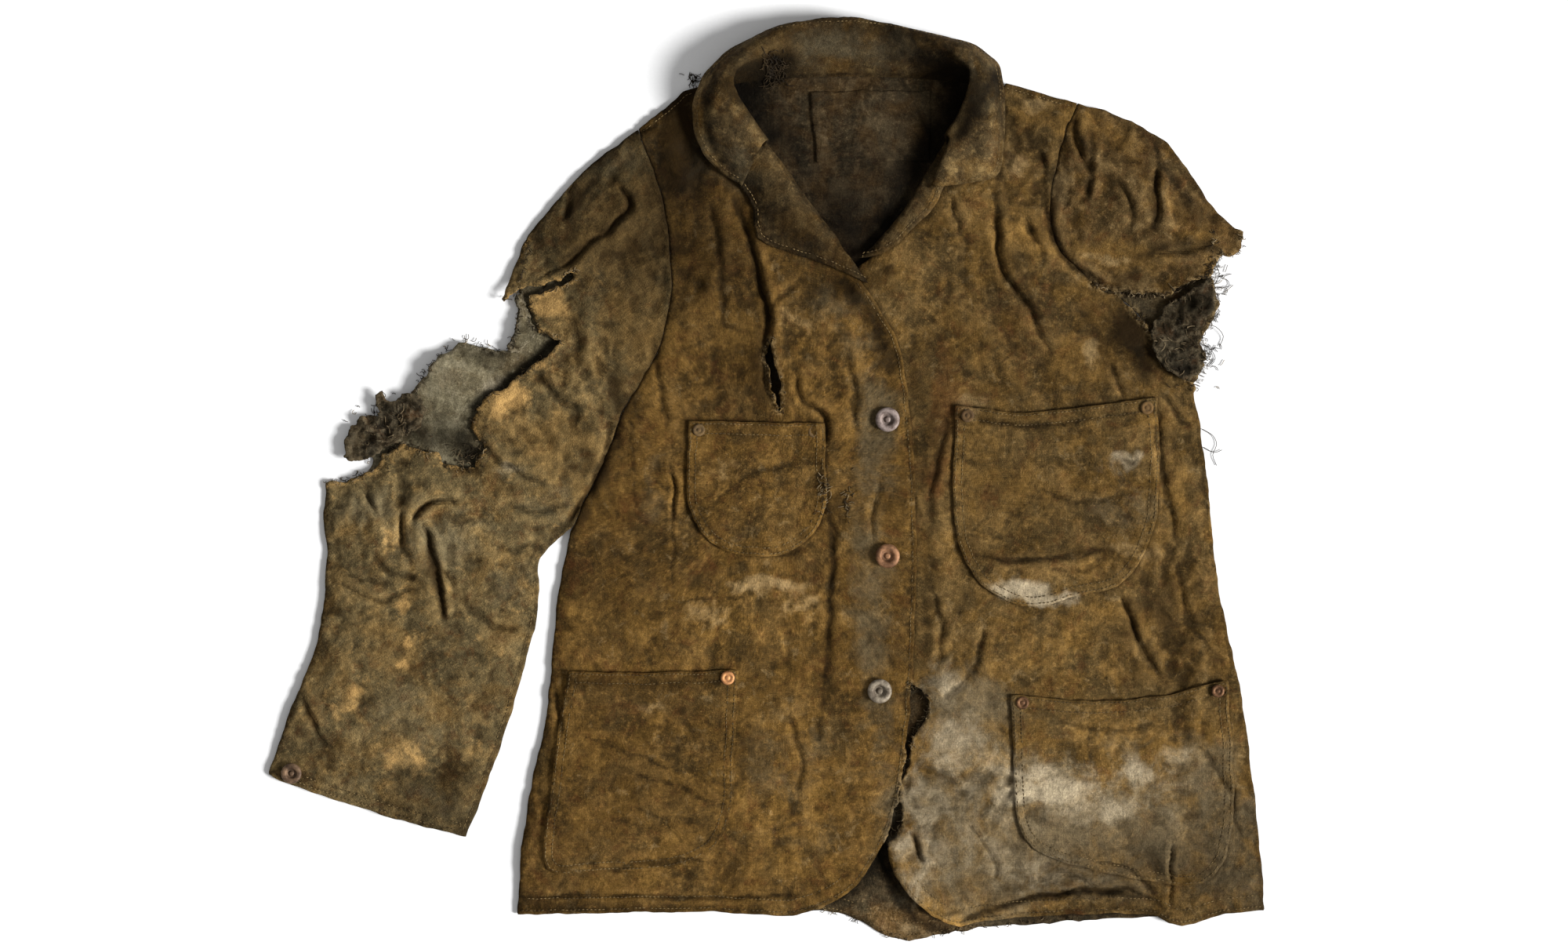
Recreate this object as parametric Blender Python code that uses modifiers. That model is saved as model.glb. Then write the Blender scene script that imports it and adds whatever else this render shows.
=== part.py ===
"""A worn chore jacket lying on its back on a flat surface.

World units are metres. Tables are in millimetres: +X towards the wearer's left sleeve,
+Y towards the collar, +Z up from the surface. "Right" and "left" are the wearer's.
"""

import math

import bmesh
import bpy
import numpy as np
from mathutils import Vector
from mathutils.bvhtree import BVHTree
from mathutils.geometry import delaunay_2d_cdt

MM = 0.001
COLLECTION = "chore_jacket"

# Cloth and the gaps between its pieces.
WALL = 1.8
POCKET_WALL = 1.5
PATCH_WALL = 1.2
SEAM_INSET = 0.16
GORGE_INSET = 0.9
WIDE_GORGE_INSET = 1.6
UNDER_INSET = 3.9
LAYER_GAP = 0.35
SCRAP_GAP = 0.45
LAPEL_GAP = 0.5
MOST_SLANT = 1.7

# How far apart the points of a piece are.
LATTICE = 18.0
BACK_LATTICE = 34.0
UNDER_LATTICE = 24.0
SMALL_LATTICE = 13.0
SCRAP_LATTICE = 9.0
EDGE_STEP = 11.0
TORN_STEP = 6.0
FOLD_STEP = 12.0
RING_IN = 4.6
LEAST_STEP = 1.0

# How many samples along a side of a triangle are tried when a piece is laid on others.
PANEL_SAMPLES = 7
SCRAP_SAMPLES = 6
LAPEL_SAMPLES = 8

# Heights over the surface the jacket lies on.
CROWN = 6.8
ROLL_RADIUS = 7.6
ROLL_EDGE = 2.0
CREASE_EDGE = 5.7
OPEN_REACH = 26.0
OPEN_EDGE = 4.6
SEAM_DIP = 1.4
SEAM_REACH = 5.0
LAPEL_EDGE = 9.6
LAPEL_LOW = 13.0
LAPEL_RISE = 7.0
OVERLAP_FROM = 44.0
OVERLAP_TO = 74.0
OVERLAP_LIFT = 2.5

# Stations (x_mm, y_mm) of each edge of the pieces. Neighbours share the edge between them.
EDGES = {
    "shoulder_right": ((-52, 299), (-64, 296), (-76, 285), (-99, 267)),
    "armhole_right": ((-99, 267), (-84, 228), (-75, 186), (-74, 138), (-84, 96), (-109, 54)),
    "armpit_right": ((-109, 54), (-117, 32), (-126, 10), (-137, -12), (-150, -38)),
    "side_right": (
        (-150, -38), (-159, -84), (-165, -144), (-170, -186), (-180, -234), (-188, -282), (-191, -333),
    ),
    "hem_right": ((-191, -333), (-130, -332), (-46, -331), (14, -334), (41, -328)),
    "front_edge_right": (
        (41, -328), (64, -315), (82, -291), (96, -261), (104, -222), (110, -162), (114, -84),
        (113, -6), (108, 60), (98, 108), (72, 150),
    ),
    "neck_right": ((72, 150), (44, 186), (16, 224), (-8, 252), (-28, 277), (-52, 299)),
    "shoulder_left": ((182, 302), (206, 296), (237, 287)),
    "armhole_left_top": ((237, 287), (224, 252), (216, 207), (222, 177), (249, 149)),
    "armhole_left_low": ((249, 149), (278, 131), (300, 102), (326, 71)),
    "side_left": (
        (326, 71), (332, 36), (338, -12), (342, -54), (349, -102), (362, -162), (370, -222),
        (376, -270), (381, -330),
    ),
    "hem_left": (
        (381, -330), (350, -333), (314, -342), (292, -333), (236, -333), (182, -336), (147, -342),
    ),
    "corner_left": ((147, -342), (124, -333), (106, -315), (94, -297), (92, -279)),
    "torn_front_left": (
        (92, -279), (102, -258), (99, -243), (108, -210), (113, -192), (123, -177), (119, -165),
        (104, -154),
    ),
    "hidden_front_left": ((104, -154), (81, -114), (77, 6), (75, 114), (69, 161)),
    "neck_left": ((69, 161), (88, 177), (114, 203), (136, 234), (154, 267), (182, 302)),
    "back_hem": (
        (381, -330), (352, -332), (300, -335), (236, -338), (190, -341), (150, -346), (101, -352),
        (66, -337), (41, -331), (-46, -331), (-191, -333),
    ),
    "back_neck": ((182, 302), (158, 304), (122, 308), (64, 310), (14, 308), (-28, 305), (-52, 299)),
    "cap_right": (
        (-99, 267), (-122, 250), (-145, 230), (-166, 207), (-184, 184), (-194, 159), (-203, 136),
    ),
    "rip_right": (
        (-203, 136), (-189, 143), (-166, 149), (-147, 159), (-150, 152), (-166, 143), (-180, 138),
        (-180, 124), (-174, 112), (-157, 105), (-174, 90), (-196, 73), (-220, 56), (-224, 37),
        (-216, 21), (-226, 8), (-242, 11), (-259, 20), (-278, 26), (-290, 20), (-301, 6),
    ),
    "elbow_right": ((-301, 6), (-315, 0), (-337, -3)),
    "outer_right": (
        (-337, -3), (-339, -28), (-337, -63), (-340, -102), (-347, -133), (-363, -174), (-382, -226),
    ),
    "cuff_right": ((-382, -226), (-369, -232), (-328, -246), (-280, -261), (-230, -274)),
    "inner_right": (
        (-230, -274), (-214, -234), (-195, -177), (-181, -129), (-174, -92), (-174, -61), (-150, -38),
    ),
    "under_rip_right": (
        (-99, 267), (-143, 229), (-182, 179), (-189, 143), (-194, 102), (-213, 100), (-231, 105),
        (-248, 97), (-260, 81), (-270, 66), (-286, 50), (-300, 36), (-306, 21), (-303, 9), (-316, 1),
        (-337, -3),
    ),
    "cap_left": (
        (237, 287), (262, 280), (284, 270), (306, 256), (326, 231), (342, 206), (362, 188),
    ),
    "torn_left": ((362, 188), (360, 171), (347, 172), (341, 159), (322, 149), (308, 142)),
    "torn_left_low": ((308, 142), (279, 140), (249, 149)),
    "under_torn_left": (
        (237, 287), (276, 262), (314, 231), (340, 190), (340, 156), (345, 130), (332, 106), (336, 86),
        (326, 71),
    ),
    "roll_right": ((-3, 260), (18, 232), (44, 197), (66, 165), (77, 149)),
    "lapel_edge_right": ((77, 149), (44, 164), (14, 173), (-9, 185), (-12, 209), (-22, 225)),
    "gorge_right": ((-22, 225), (-3, 260)),
    "roll_left": ((139, 264), (122, 234), (106, 208), (84, 181), (69, 168)),
    "lapel_edge_left": ((69, 168), (92, 173), (112, 191), (129, 209), (136, 223)),
    "gorge_left": ((136, 223), (139, 264)),
}

# Each piece goes round its edges in order: edge, +1 as its stations run or -1 backwards, its kind.
# rolled: the cloth turns down to the surface. crease: it turns down to the layer below. seam: it meets
# another piece. open: a turned or cut edge. under: it ends just inside a rolled edge.
OUTLINES = {
    "back": (
        ("back_neck", 1, "seam"), ("shoulder_right", 1, "under"), ("armhole_right", 1, "seam"),
        ("armpit_right", 1, "seam"), ("side_right", 1, "under"), ("back_hem", -1, "open"),
        ("side_left", -1, "under"), ("armhole_left_low", -1, "seam"), ("armhole_left_top", -1, "seam"),
        ("shoulder_left", -1, "under"),
    ),
    "front_right": (
        ("shoulder_right", 1, "rolled"), ("armhole_right", 1, "seam"), ("armpit_right", 1, "crease"),
        ("side_right", 1, "rolled"), ("hem_right", 1, "open"), ("front_edge_right", 1, "open"),
        ("neck_right", 1, "neck"),
    ),
    "front_left": (
        ("hidden_front_left", 1, "open"), ("neck_left", 1, "neck"), ("shoulder_left", 1, "rolled"),
        ("armhole_left_top", 1, "seam"), ("armhole_left_low", 1, "torn"), ("side_left", 1, "rolled"),
        ("hem_left", 1, "open"), ("corner_left", 1, "open"), ("torn_front_left", 1, "torn"),
    ),
    "sleeve_right_upper": (
        ("armhole_right", -1, "seam"), ("cap_right", 1, "rolled"), ("rip_right", 1, "torn"),
        ("elbow_right", 1, "torn"), ("outer_right", 1, "rolled"), ("cuff_right", 1, "open"),
        ("inner_right", 1, "rolled"), ("armpit_right", -1, "crease"),
    ),
    "sleeve_right_under": (
        ("armhole_right", -1, "seam"), ("under_rip_right", 1, "torn_under"), ("outer_right", 1, "under"),
        ("cuff_right", 1, "under"), ("inner_right", 1, "under"), ("armpit_right", -1, "seam"),
    ),
    "sleeve_left_upper": (
        ("armhole_left_top", -1, "seam"), ("cap_left", 1, "rolled"), ("torn_left", 1, "torn"),
        ("torn_left_low", 1, "torn"),
    ),
    "sleeve_left_under": (
        ("armhole_left_top", 1, "seam"), ("armhole_left_low", 1, "seam"),
        ("under_torn_left", -1, "torn_under"),
    ),
    "lapel_right": (
        ("roll_right", -1, "roll_line"), ("gorge_right", -1, "wide_gorge"),
        ("lapel_edge_right", -1, "open"),
    ),
    "lapel_left": (
        ("roll_left", 1, "roll_line"), ("lapel_edge_left", 1, "open"), ("gorge_left", 1, "gorge"),
    ),
}

# How far a piece stops short of its edge, by the edge's kind.
INSETS = {
    "seam": SEAM_INSET, "rolled": 0.35, "crease": 0.2, "open": 0.1, "neck": 0.1, "torn": 0.1,
    "under": UNDER_INSET, "torn_under": 0.9, "roll_line": 0.1, "gorge": GORGE_INSET,
    "wide_gorge": WIDE_GORGE_INSET,
}

# Soft bulges and hollows of the upper layer: x_mm, y_mm, radius_x_mm, radius_y_mm, height_mm.
PUFFS = (
    (-86, 250, 26, 22, 2.5),
    (-140, 110, 30, 34, 3.5),
    (-172, -12, 30, 40, 5.5),
    (-290, -150, 42, 52, 2.5),
    (-300, -40, 22, 24, 2.5),
    (-60, 130, 26, 55, 2.6),
    (55, 114, 20, 26, 4.0),
    (-110, -90, 46, 46, 1.8),
    (-20, -120, 40, 24, -1.6),
    (-100, -250, 60, 44, 1.5),
    (20, -250, 40, 50, -1.2),
    (176, 120, 30, 44, 2.2),
    (226, 160, 22, 30, 3.0),
    (284, 108, 17, 14, -4.0),
    (288, 232, 28, 24, 4.0),
    (316, -10, 20, 46, 2.0),
    (200, -130, 40, 24, 1.6),
    (322, -118, 18, 30, -2.0),
    (160, -240, 34, 44, -1.0),
    (330, -300, 34, 22, 2.4),
)

# Large folds of the upper layer: height_mm (a trough is negative), width_mm of the flank on the left
# of the way the stations run, width_mm on its right, and the stations (x_mm, y_mm).
FOLDS = (
    (5.2, 17, 6, ((-22, 178), (-1, 146), (3, 126), (3, 82), (9, 46))),
    (3.8, 13, 6, ((22, 90), (25, 70), (42, 56), (50, 42), (47, 16), (45, -20))),
    (-3.6, 9, 9, ((-70, 290), (-62, 262), (-58, 236))),
    (2.4, 13, 8, ((-112, -222), (-72, -240), (-34, -252))),
    (2.2, 12, 8, ((-106, -246), (-80, -268), (-58, -282))),
    (-3.4, 6, 8, ((-143, 232), (-152, 214), (-157, 194))),
    (3.4, 13, 7, ((-120, 236), (-102, 210), (-122, 190), (-151, 167), (-188, 147))),
    (5.2, 7, 13, ((-270, -32), (-261, -70), (-253, -110))),
    (-3.0, 9, 6, ((-252, -60), (-240, -84), (-230, -96))),
    (3.6, 11, 7, ((-273, -38), (-260, -18), (-232, -16))),
    (-2.8, 6, 7, ((-280, -22), (-279, -44), (-283, -56))),
    (-2.6, 7, 7, ((-356, -163), (-345, -190), (-334, -208))),
    (3.4, 13, 7, ((176, 226), (181, 168), (203, 126), (223, 88))),
    (2.6, 9, 6, ((143, 218), (149, 184))),
    (2.4, 10, 7, ((194, 206), (203, 186), (214, 166))),
    (3.2, 9, 7, ((236, 278), (236, 264), (250, 226))),
    (2.6, 12, 8, ((300, 246), (298, 214), (296, 186))),
    (2.4, 10, 8, ((290, 173), (316, 175), (343, 179))),
    (-3.0, 9, 7, ((299, 58), (303, 6), (315, -54))),
    (-2.4, 8, 7, ((309, -56), (301, -76), (301, -90))),
    (4.2, 15, 6, ((303, -158), (284, -124), (270, -84))),
    (3.0, 10, 8, ((238, -286), (276, -300), (302, -322))),
    (-2.2, 8, 8, ((214, -300), (254, -316), (284, -320))),
    (2.8, 9, 6, ((309, -272), (310, -328))),
    (2.2, 10, 8, ((-30, 232), (-34, 190), (-52, 120))),
)

# What is sewn flat on a panel: panel, lift of its mouth in mm, stations (x_mm, y_mm) along its mouth,
# and stations round the rest of it.
PATCHES = {
    "chest_pocket_right": (
        "front_right", 1.2, ((-60, 44), (44, 42)),
        ((44, 42), (45, -18), (38, -39), (18, -55), (-9, -60), (-38, -52), (-55, -34), (-61, -12), (-60, 44)),
    ),
    "chest_pocket_left": (
        "front_left", 1.2, ((144, 56), (194, 51), (248, 56), (298, 62)),
        ((298, 62), (300, 6), (294, -42), (273, -79), (239, -89), (220, -95), (194, -97), (167, -84),
         (149, -58), (142, -18), (144, 56)),
    ),
    "lower_pocket_right": (
        "front_right", 1.4, ((-153, -147), (-94, -148), (-22, -146)),
        ((-22, -146), (-25, -210), (-28, -258), (-44, -285), (-76, -297), (-130, -300), (-169, -297),
         (-163, -220), (-153, -147)),
    ),
    "lower_pocket_left": (
        "front_left", 1.4, ((186, -165), (254, -170), (308, -164), (352, -154)),
        ((352, -154), (356, -222), (355, -264), (346, -297), (324, -311), (272, -303), (224, -292),
         (198, -277), (190, -252), (188, -210), (186, -165)),
    ),
    "neck_facing": (
        "back", 0.0, ((33, 296), (125, 296)), ((125, 296), (124, 243), (38, 242), (33, 296)),
    ),
}
MOUTH_REACH = 16.0

# The gash beside the long chest fold, cut through.
GASHES = {"front_right": (((4, 108), (-3, 96), (2, 72), (7, 52), (13, 52), (12, 72), (7, 92)),)}

# Where the lower layers stand up off the surface: x_mm, y_mm, radius_mm, height_mm.
UNDER_RISES = {
    "sleeve_right_under": ((-250, 84, 30, 9.0), (-205, 112, 20, 4.0)),
    "sleeve_left_under": ((344, 140, 16, 5.0), (326, 84, 14, 3.0)),
}

# Crumpled scraps: outline, height_mm over what they lie on, ripple_mm, ripple length_mm, turn_deg,
# and how ragged their edge is, in mm.
SCRAPS = {
    "torn_strip": (
        ((-192, 141), (-186, 142), (-181, 125), (-177, 110), (-190, 96), (-198, 101), (-191, 120)),
        1.2, 0.5, 22.0, 10.0, 0.3,
    ),
    "scrap_elbow": (
        ((-266, 64), (-279, 65), (-286, 58), (-294, 67), (-299, 57), (-294, 49), (-306, 48), (-319, 37),
         (-323, 23), (-321, 14), (-309, 14), (-295, 21), (-283, 29), (-268, 39), (-261, 51)),
        2.6, 2.2, 13.0, 35.0, 1.1,
    ),
    "scrap_armhole": (
        ((338, 153), (343, 133), (331, 110), (335, 90), (325, 76), (312, 79), (297, 93), (294, 111),
         (303, 128), (320, 141)),
        2.4, 2.4, 17.0, 70.0, 1.1,
    ),
}

# Collar: a row for each section across it, in mm. foot: its seam at the neck. crest: the roll line.
# edge: the outer edge of the fall. The last three columns are the heights of foot, crest and edge.
COLLAR_SECTIONS = (
    (-6.0, 253.5, -3.0, 260.0, -22.0, 225.0, 6.0, 22.0, 10.5),
    (-16.0, 266.0, -12.0, 274.0, -34.0, 232.0, 6.0, 25.0, 10.5),
    (-27.0, 280.0, -22.0, 288.0, -48.0, 246.0, 6.0, 29.0, 10.5),
    (-40.0, 291.0, -28.0, 300.0, -56.0, 264.0, 6.0, 32.0, 10.5),
    (-43.0, 297.0, -25.0, 312.0, -57.5, 286.0, 5.6, 33.0, 8.0),
    (-31.0, 300.6, -15.0, 322.0, -49.0, 309.0, 5.0, 32.0, 6.0),
    (-14.0, 303.4, 0.0, 332.0, -30.0, 328.0, 4.6, 30.0, 4.0),
    (8.0, 305.6, 18.0, 341.0, 4.0, 344.5, 4.4, 26.0, 3.2),
    (35.0, 306.8, 42.0, 347.0, 38.0, 350.6, 4.3, 24.0, 2.6),
    (64.0, 307.4, 66.0, 348.4, 66.0, 352.0, 4.3, 23.0, 2.4),
    (93.0, 306.8, 94.0, 344.0, 95.0, 348.0, 4.3, 24.0, 2.6),
    (120.0, 305.6, 120.0, 335.0, 129.0, 340.0, 4.4, 27.0, 3.2),
    (143.0, 303.6, 142.0, 325.0, 159.0, 332.0, 4.6, 30.0, 4.0),
    (162.0, 301.6, 155.0, 312.0, 178.0, 317.0, 5.0, 32.0, 6.0),
    (174.0, 297.6, 153.0, 298.0, 182.0, 296.0, 5.6, 32.0, 8.0),
    (165.0, 287.0, 150.0, 288.0, 182.0, 272.0, 6.0, 30.0, 10.5),
    (153.0, 273.0, 146.0, 277.0, 179.0, 229.0, 6.0, 27.0, 10.5),
    (142.0, 254.0, 139.0, 264.0, 136.0, 223.0, 6.0, 23.0, 10.5),
)
# Across a section: the stand from its foot, the round of the roll, then the fall to its edge.
COLLAR_ROLL = 3.2
STAND_SHARES = (0.0, 0.4, 0.76)
ROLL_ANGLES = (180.0, 130.0, 90.0, 50.0)
# Share of the way out to the edge, and share of the height kept there.
FALL_SHARES = ((0.38, 0.93), (0.70, 0.58), (1.00, 0.00))
COLLAR_STATION = 15.0
COLLAR_PROBE = 7.0
COLLAR_SLANT = 1.35

# Turned metal: radius_mm and height_mm of the profile, from the middle of the top to the bottom.
BUTTON_PROFILE = (
    (0.0, 3.5), (1.5, 3.5), (2.6, 2.8), (5.0, 4.3), (7.9, 4.2), (9.3, 2.8), (8.8, 1.7), (3.2, 1.2),
    (2.8, 0.0), (0.0, 0.0),
)
RIVET_PROFILE = ((0.0, 1.7), (1.3, 1.5), (2.3, 0.9), (4.1, 1.6), (5.5, 0.7), (5.1, 0.0), (0.0, 0.0))
BUTTON_STEPS = 16
RIVET_STEPS = 12
METAL_GAP = 0.3
# Name: x_mm, y_mm, scale.
BUTTONS = {
    "button_top": (92, 45, 1.0),
    "button_middle": (92, -59, 1.0),
    "button_low": (86, -162, 1.0),
    "button_cuff": (-363, -225, 0.84),
}
RIVETS = {
    "rivet_lower_right": (-30, -152, 0.98),
    "rivet_lower_left_inner": (195, -171, 0.9),
    "rivet_lower_left_outer": (344, -162, 0.9),
    "rivet_chest_right_outer": (-52, 37, 0.86),
    "rivet_chest_right_inner": (36, 36, 0.86),
    "rivet_chest_left_inner": (153, 48, 0.9),
    "rivet_chest_left_outer": (290, 54, 0.9),
}

# Colour (linear red, green, blue), roughness and metallic of each piece.
LOOKS = {
    "back": (0.055, 0.043, 0.028, 0.9, 0.0),
    "neck_facing": (0.075, 0.058, 0.038, 0.9, 0.0),
    "front_right": (0.150, 0.098, 0.044, 0.88, 0.0),
    "front_left": (0.165, 0.110, 0.052, 0.88, 0.0),
    "sleeve_right_upper": (0.160, 0.108, 0.050, 0.88, 0.0),
    "sleeve_right_under": (0.190, 0.170, 0.130, 0.92, 0.0),
    "sleeve_left_upper": (0.150, 0.096, 0.040, 0.88, 0.0),
    "sleeve_left_under": (0.090, 0.075, 0.050, 0.92, 0.0),
    "collar": (0.095, 0.072, 0.042, 0.88, 0.0),
    "lapel_right": (0.100, 0.075, 0.042, 0.88, 0.0),
    "lapel_left": (0.095, 0.068, 0.038, 0.88, 0.0),
    "chest_pocket_right": (0.125, 0.082, 0.038, 0.88, 0.0),
    "chest_pocket_left": (0.155, 0.100, 0.044, 0.88, 0.0),
    "lower_pocket_right": (0.140, 0.094, 0.042, 0.88, 0.0),
    "lower_pocket_left": (0.140, 0.108, 0.064, 0.88, 0.0),
    "torn_strip": (0.200, 0.180, 0.140, 0.92, 0.0),
    "scrap_elbow": (0.100, 0.090, 0.070, 0.92, 0.0),
    "scrap_armhole": (0.085, 0.068, 0.046, 0.92, 0.0),
    "button_top": (0.230, 0.185, 0.160, 0.55, 1.0),
    "button_middle": (0.300, 0.165, 0.085, 0.55, 1.0),
    "button_low": (0.300, 0.300, 0.290, 0.50, 1.0),
    "button_cuff": (0.200, 0.130, 0.080, 0.55, 1.0),
    "rivet": (0.420, 0.220, 0.130, 0.50, 1.0),
}


def clear_scene():
    for obj in list(bpy.data.objects):
        bpy.data.objects.remove(obj, do_unlink=True)


def smooth_line(stations, spacing):
    """Points about `spacing` apart on a smooth curve through the stations."""
    line = np.array(stations, float)
    if len(line) > 2:
        ends = np.vstack([2 * line[0] - line[1], line, 2 * line[-1] - line[-2]])
        dense = []
        for i in range(1, len(ends) - 2):
            a, b, c, d = ends[i - 1 : i + 3]
            for t in np.linspace(0, 1, 12, endpoint=False):
                dense.append(
                    b
                    + 0.5 * t * (c - a)
                    + 0.5 * t * t * (2 * a - 5 * b + 4 * c - d)
                    + 0.5 * t * t * t * (3 * b - a - 3 * c + d)
                )
        line = np.vstack([dense, line[-1:]])
    length = np.concatenate([[0], np.cumsum(np.linalg.norm(np.diff(line, axis=0), axis=1))])
    count = max(1, round(length[-1] / spacing))
    at = np.linspace(0, length[-1], count + 1)
    return np.column_stack([np.interp(at, length, line[:, k]) for k in (0, 1)])


def hash_noise(points, seed):
    """A fixed number from -1 to 1 for each point."""
    value = np.sin(points[:, 0] * 12.9898 + points[:, 1] * 78.233 + seed * 37.719) * 43758.5453
    return 2 * (value - np.floor(value)) - 1


def edge_points(name, kind):
    torn = kind in ("torn", "torn_under")
    line = smooth_line(EDGES[name], TORN_STEP if torn else EDGE_STEP)
    if torn:
        along = np.gradient(line, axis=0)
        side = np.column_stack([-along[:, 1], along[:, 0]])
        side /= np.linalg.norm(side, axis=1)[:, None]
        jag = hash_noise(line, 3) * 1.3
        jag[[0, -1]] = 0
        line = line + side * jag[:, None]
    return line


def outline_of(rows):
    """The loop of points anticlockwise round a piece, and the kind of the edge after each point."""
    loop = []
    kinds = []
    for name, way, kind in rows:
        line = edge_points(name, kind)[::way]
        loop.extend(line[:-1])
        kinds.extend([kind] * (len(line) - 1))
    loop = np.array(loop)
    gap = np.linalg.norm(loop - np.roll(loop, 1, axis=0), axis=1)
    keep = gap > LEAST_STEP
    loop, kinds = loop[keep], [k for k, kept in zip(kinds, keep) if kept]
    if signed_area(loop) < 0:
        loop, kinds = loop[::-1], kinds[-2::-1] + kinds[-1:]
    return loop, kinds


def inset_loop(loop, insets):
    """The loop moved inwards, each side by its own inset."""
    along = np.roll(loop, -1, axis=0) - loop
    normal = np.column_stack([-along[:, 1], along[:, 0]])
    normal /= np.linalg.norm(normal, axis=1)[:, None]
    moved = []
    for i, point in enumerate(loop):
        n1, n2 = normal[i - 1], normal[i]
        d1, d2 = insets[i - 1], insets[i]
        cross = n1[0] * n2[1] - n1[1] * n2[0]
        if abs(cross) > 0.35:
            step = np.array([d1 * n2[1] - d2 * n1[1], n1[0] * d2 - n2[0] * d1]) / cross
        else:
            mean = (n1 + n2) / np.linalg.norm(n1 + n2)
            step = mean * max(d1, d2) / max(0.5, float(mean @ n2))
        reach = np.linalg.norm(step)
        limit = 2.2 * max(d1, d2)
        moved.append(point + step * min(1.0, limit / reach))
    return np.array(moved)


def signed_area(loop):
    after = np.roll(loop, -1, axis=0)
    return 0.5 * float((loop[:, 0] * after[:, 1] - loop[:, 1] * after[:, 0]).sum())


def inside(points, loop):
    """Whether each point is inside the loop."""
    x, y = points[:, 0][:, None], points[:, 1][:, None]
    ax, ay = loop[:, 0][None], loop[:, 1][None]
    after = np.roll(loop, -1, axis=0)
    bx, by = after[:, 0][None], after[:, 1][None]
    spans = (ay > y) != (by > y)
    with np.errstate(divide="ignore", invalid="ignore"):
        cross_x = (bx - ax) * (y - ay) / (by - ay) + ax
    return (spans & (x < cross_x)).sum(axis=1) % 2 == 1


def segments_of(loop, closed=True):
    after = np.roll(loop, -1, axis=0)
    pairs = np.stack([loop, after], axis=1)
    return pairs if closed else pairs[:-1]


def nearest(points, segments):
    """For each point its distance to the segments, which one is nearest, and how far along it."""
    a = segments[:, 0]
    ab = segments[:, 1] - a
    ap = points[:, None] - a[None]
    t = np.clip((ap * ab).sum(-1) / np.maximum((ab * ab).sum(-1), 1e-9), 0, 1)
    d = np.linalg.norm(ap - t[..., None] * ab, axis=-1)
    which = d.argmin(axis=1)
    row = np.arange(len(points))
    return d[row, which], which, t[row, which]


def smoothstep(value, start, end):
    t = np.clip((value - start) / (end - start), 0, 1)
    return t * t * (3 - 2 * t)


def fold_height(points, height, left, right, stations):
    """Height that a fold adds at each point: its two flanks have their own widths, and its ends fade."""
    line = smooth_line(stations, 4.0)
    segments = segments_of(line, closed=False)
    length = np.linalg.norm(segments[:, 1] - segments[:, 0], axis=1)
    before = np.concatenate([[0], np.cumsum(length)])
    d, which, t = nearest(points, segments)
    a = segments[which, 0]
    ab = segments[which, 1] - a
    ap = points - a
    side = ab[:, 0] * ap[:, 1] - ab[:, 1] * ap[:, 0]
    width = np.where(side > 0, left, right)
    at = before[which] + t * length[which]
    fade = np.minimum(at, before[-1] - at) / (0.3 * before[-1])
    fade = smoothstep(fade, -0.6, 1.0)
    return height * fade * np.exp(-((d / width) ** 2))


def upper_height(points):
    """The lie of the upper layer before its edges are turned down."""
    z = np.full(len(points), CROWN)
    for x, y, rx, ry, height in PUFFS:
        reach = ((points[:, 0] - x) / rx) ** 2 + ((points[:, 1] - y) / ry) ** 2
        z = z + height * np.exp(-reach)
    for height, left, right, stations in FOLDS:
        z = z + fold_height(points, height, left, right, stations)
    return np.maximum(z, 4.6)


def kind_segments(loop, kinds, wanted):
    chosen = [k in wanted for k in kinds]
    return segments_of(loop)[np.array(chosen)] if any(chosen) else None


def shape_edges(points, z, loop, kinds):
    """Turns the upper layer down at rolled edges, lays it flat at open ones and dips it at seams."""
    lowered = (
        (("open",), OPEN_EDGE, OPEN_REACH),
        (("neck",), 5.4, 14.0),
        (("torn",), 5.0, 12.0),
    )
    for wanted, level, reach in lowered:
        segments = kind_segments(loop, kinds, wanted)
        if segments is not None:
            d = nearest(points, segments)[0]
            z = level + (z - level) * (0.15 + 0.85 * smoothstep(d, -0.35 * reach, reach))
    seam = kind_segments(loop, kinds, ("seam",))
    if seam is not None:
        z = z - SEAM_DIP * np.exp(-((nearest(points, seam)[0] / SEAM_REACH) ** 2))
    for kind, level in (("crease", CREASE_EDGE), ("rolled", ROLL_EDGE)):
        turned_down = kind_segments(loop, kinds, (kind,))
        if turned_down is not None:
            d = np.clip(nearest(points, turned_down)[0] / ROLL_RADIUS, 0, 1)
            z = level + (z - level) * np.sqrt(1 - (1 - d) ** 2)
    return z


def lattice_in(loop, spacing):
    low, high = loop.min(axis=0), loop.max(axis=0)
    rise = spacing * math.sqrt(0.75)
    rows = []
    for j in range(math.floor(low[1] / rise), math.ceil(high[1] / rise) + 1):
        shift = 0.5 * spacing * (j % 2)
        first, last = math.floor(low[0] / spacing), math.ceil(high[0] / spacing)
        rows.extend((i * spacing + shift, j * rise) for i in range(first, last + 1))
    return np.array(rows)


def fold_points(stations, right):
    """Points on a fold's crest and at the foot of its steeper flank."""
    line = smooth_line(stations, FOLD_STEP)
    along = np.gradient(line, axis=0)
    side = np.column_stack([along[:, 1], -along[:, 0]])
    side /= np.linalg.norm(side, axis=1)[:, None]
    return np.vstack([line, line + side * right * 1.25])


def far_enough(points, others, least):
    keep = []
    placed = [tuple(p) for p in others]
    for i, point in enumerate(points):
        near = np.array(placed) - point
        if (near[:, 0] ** 2 + near[:, 1] ** 2).min() >= least * least:
            keep.append(i)
            placed.append(tuple(point))
    return points[keep]


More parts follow.
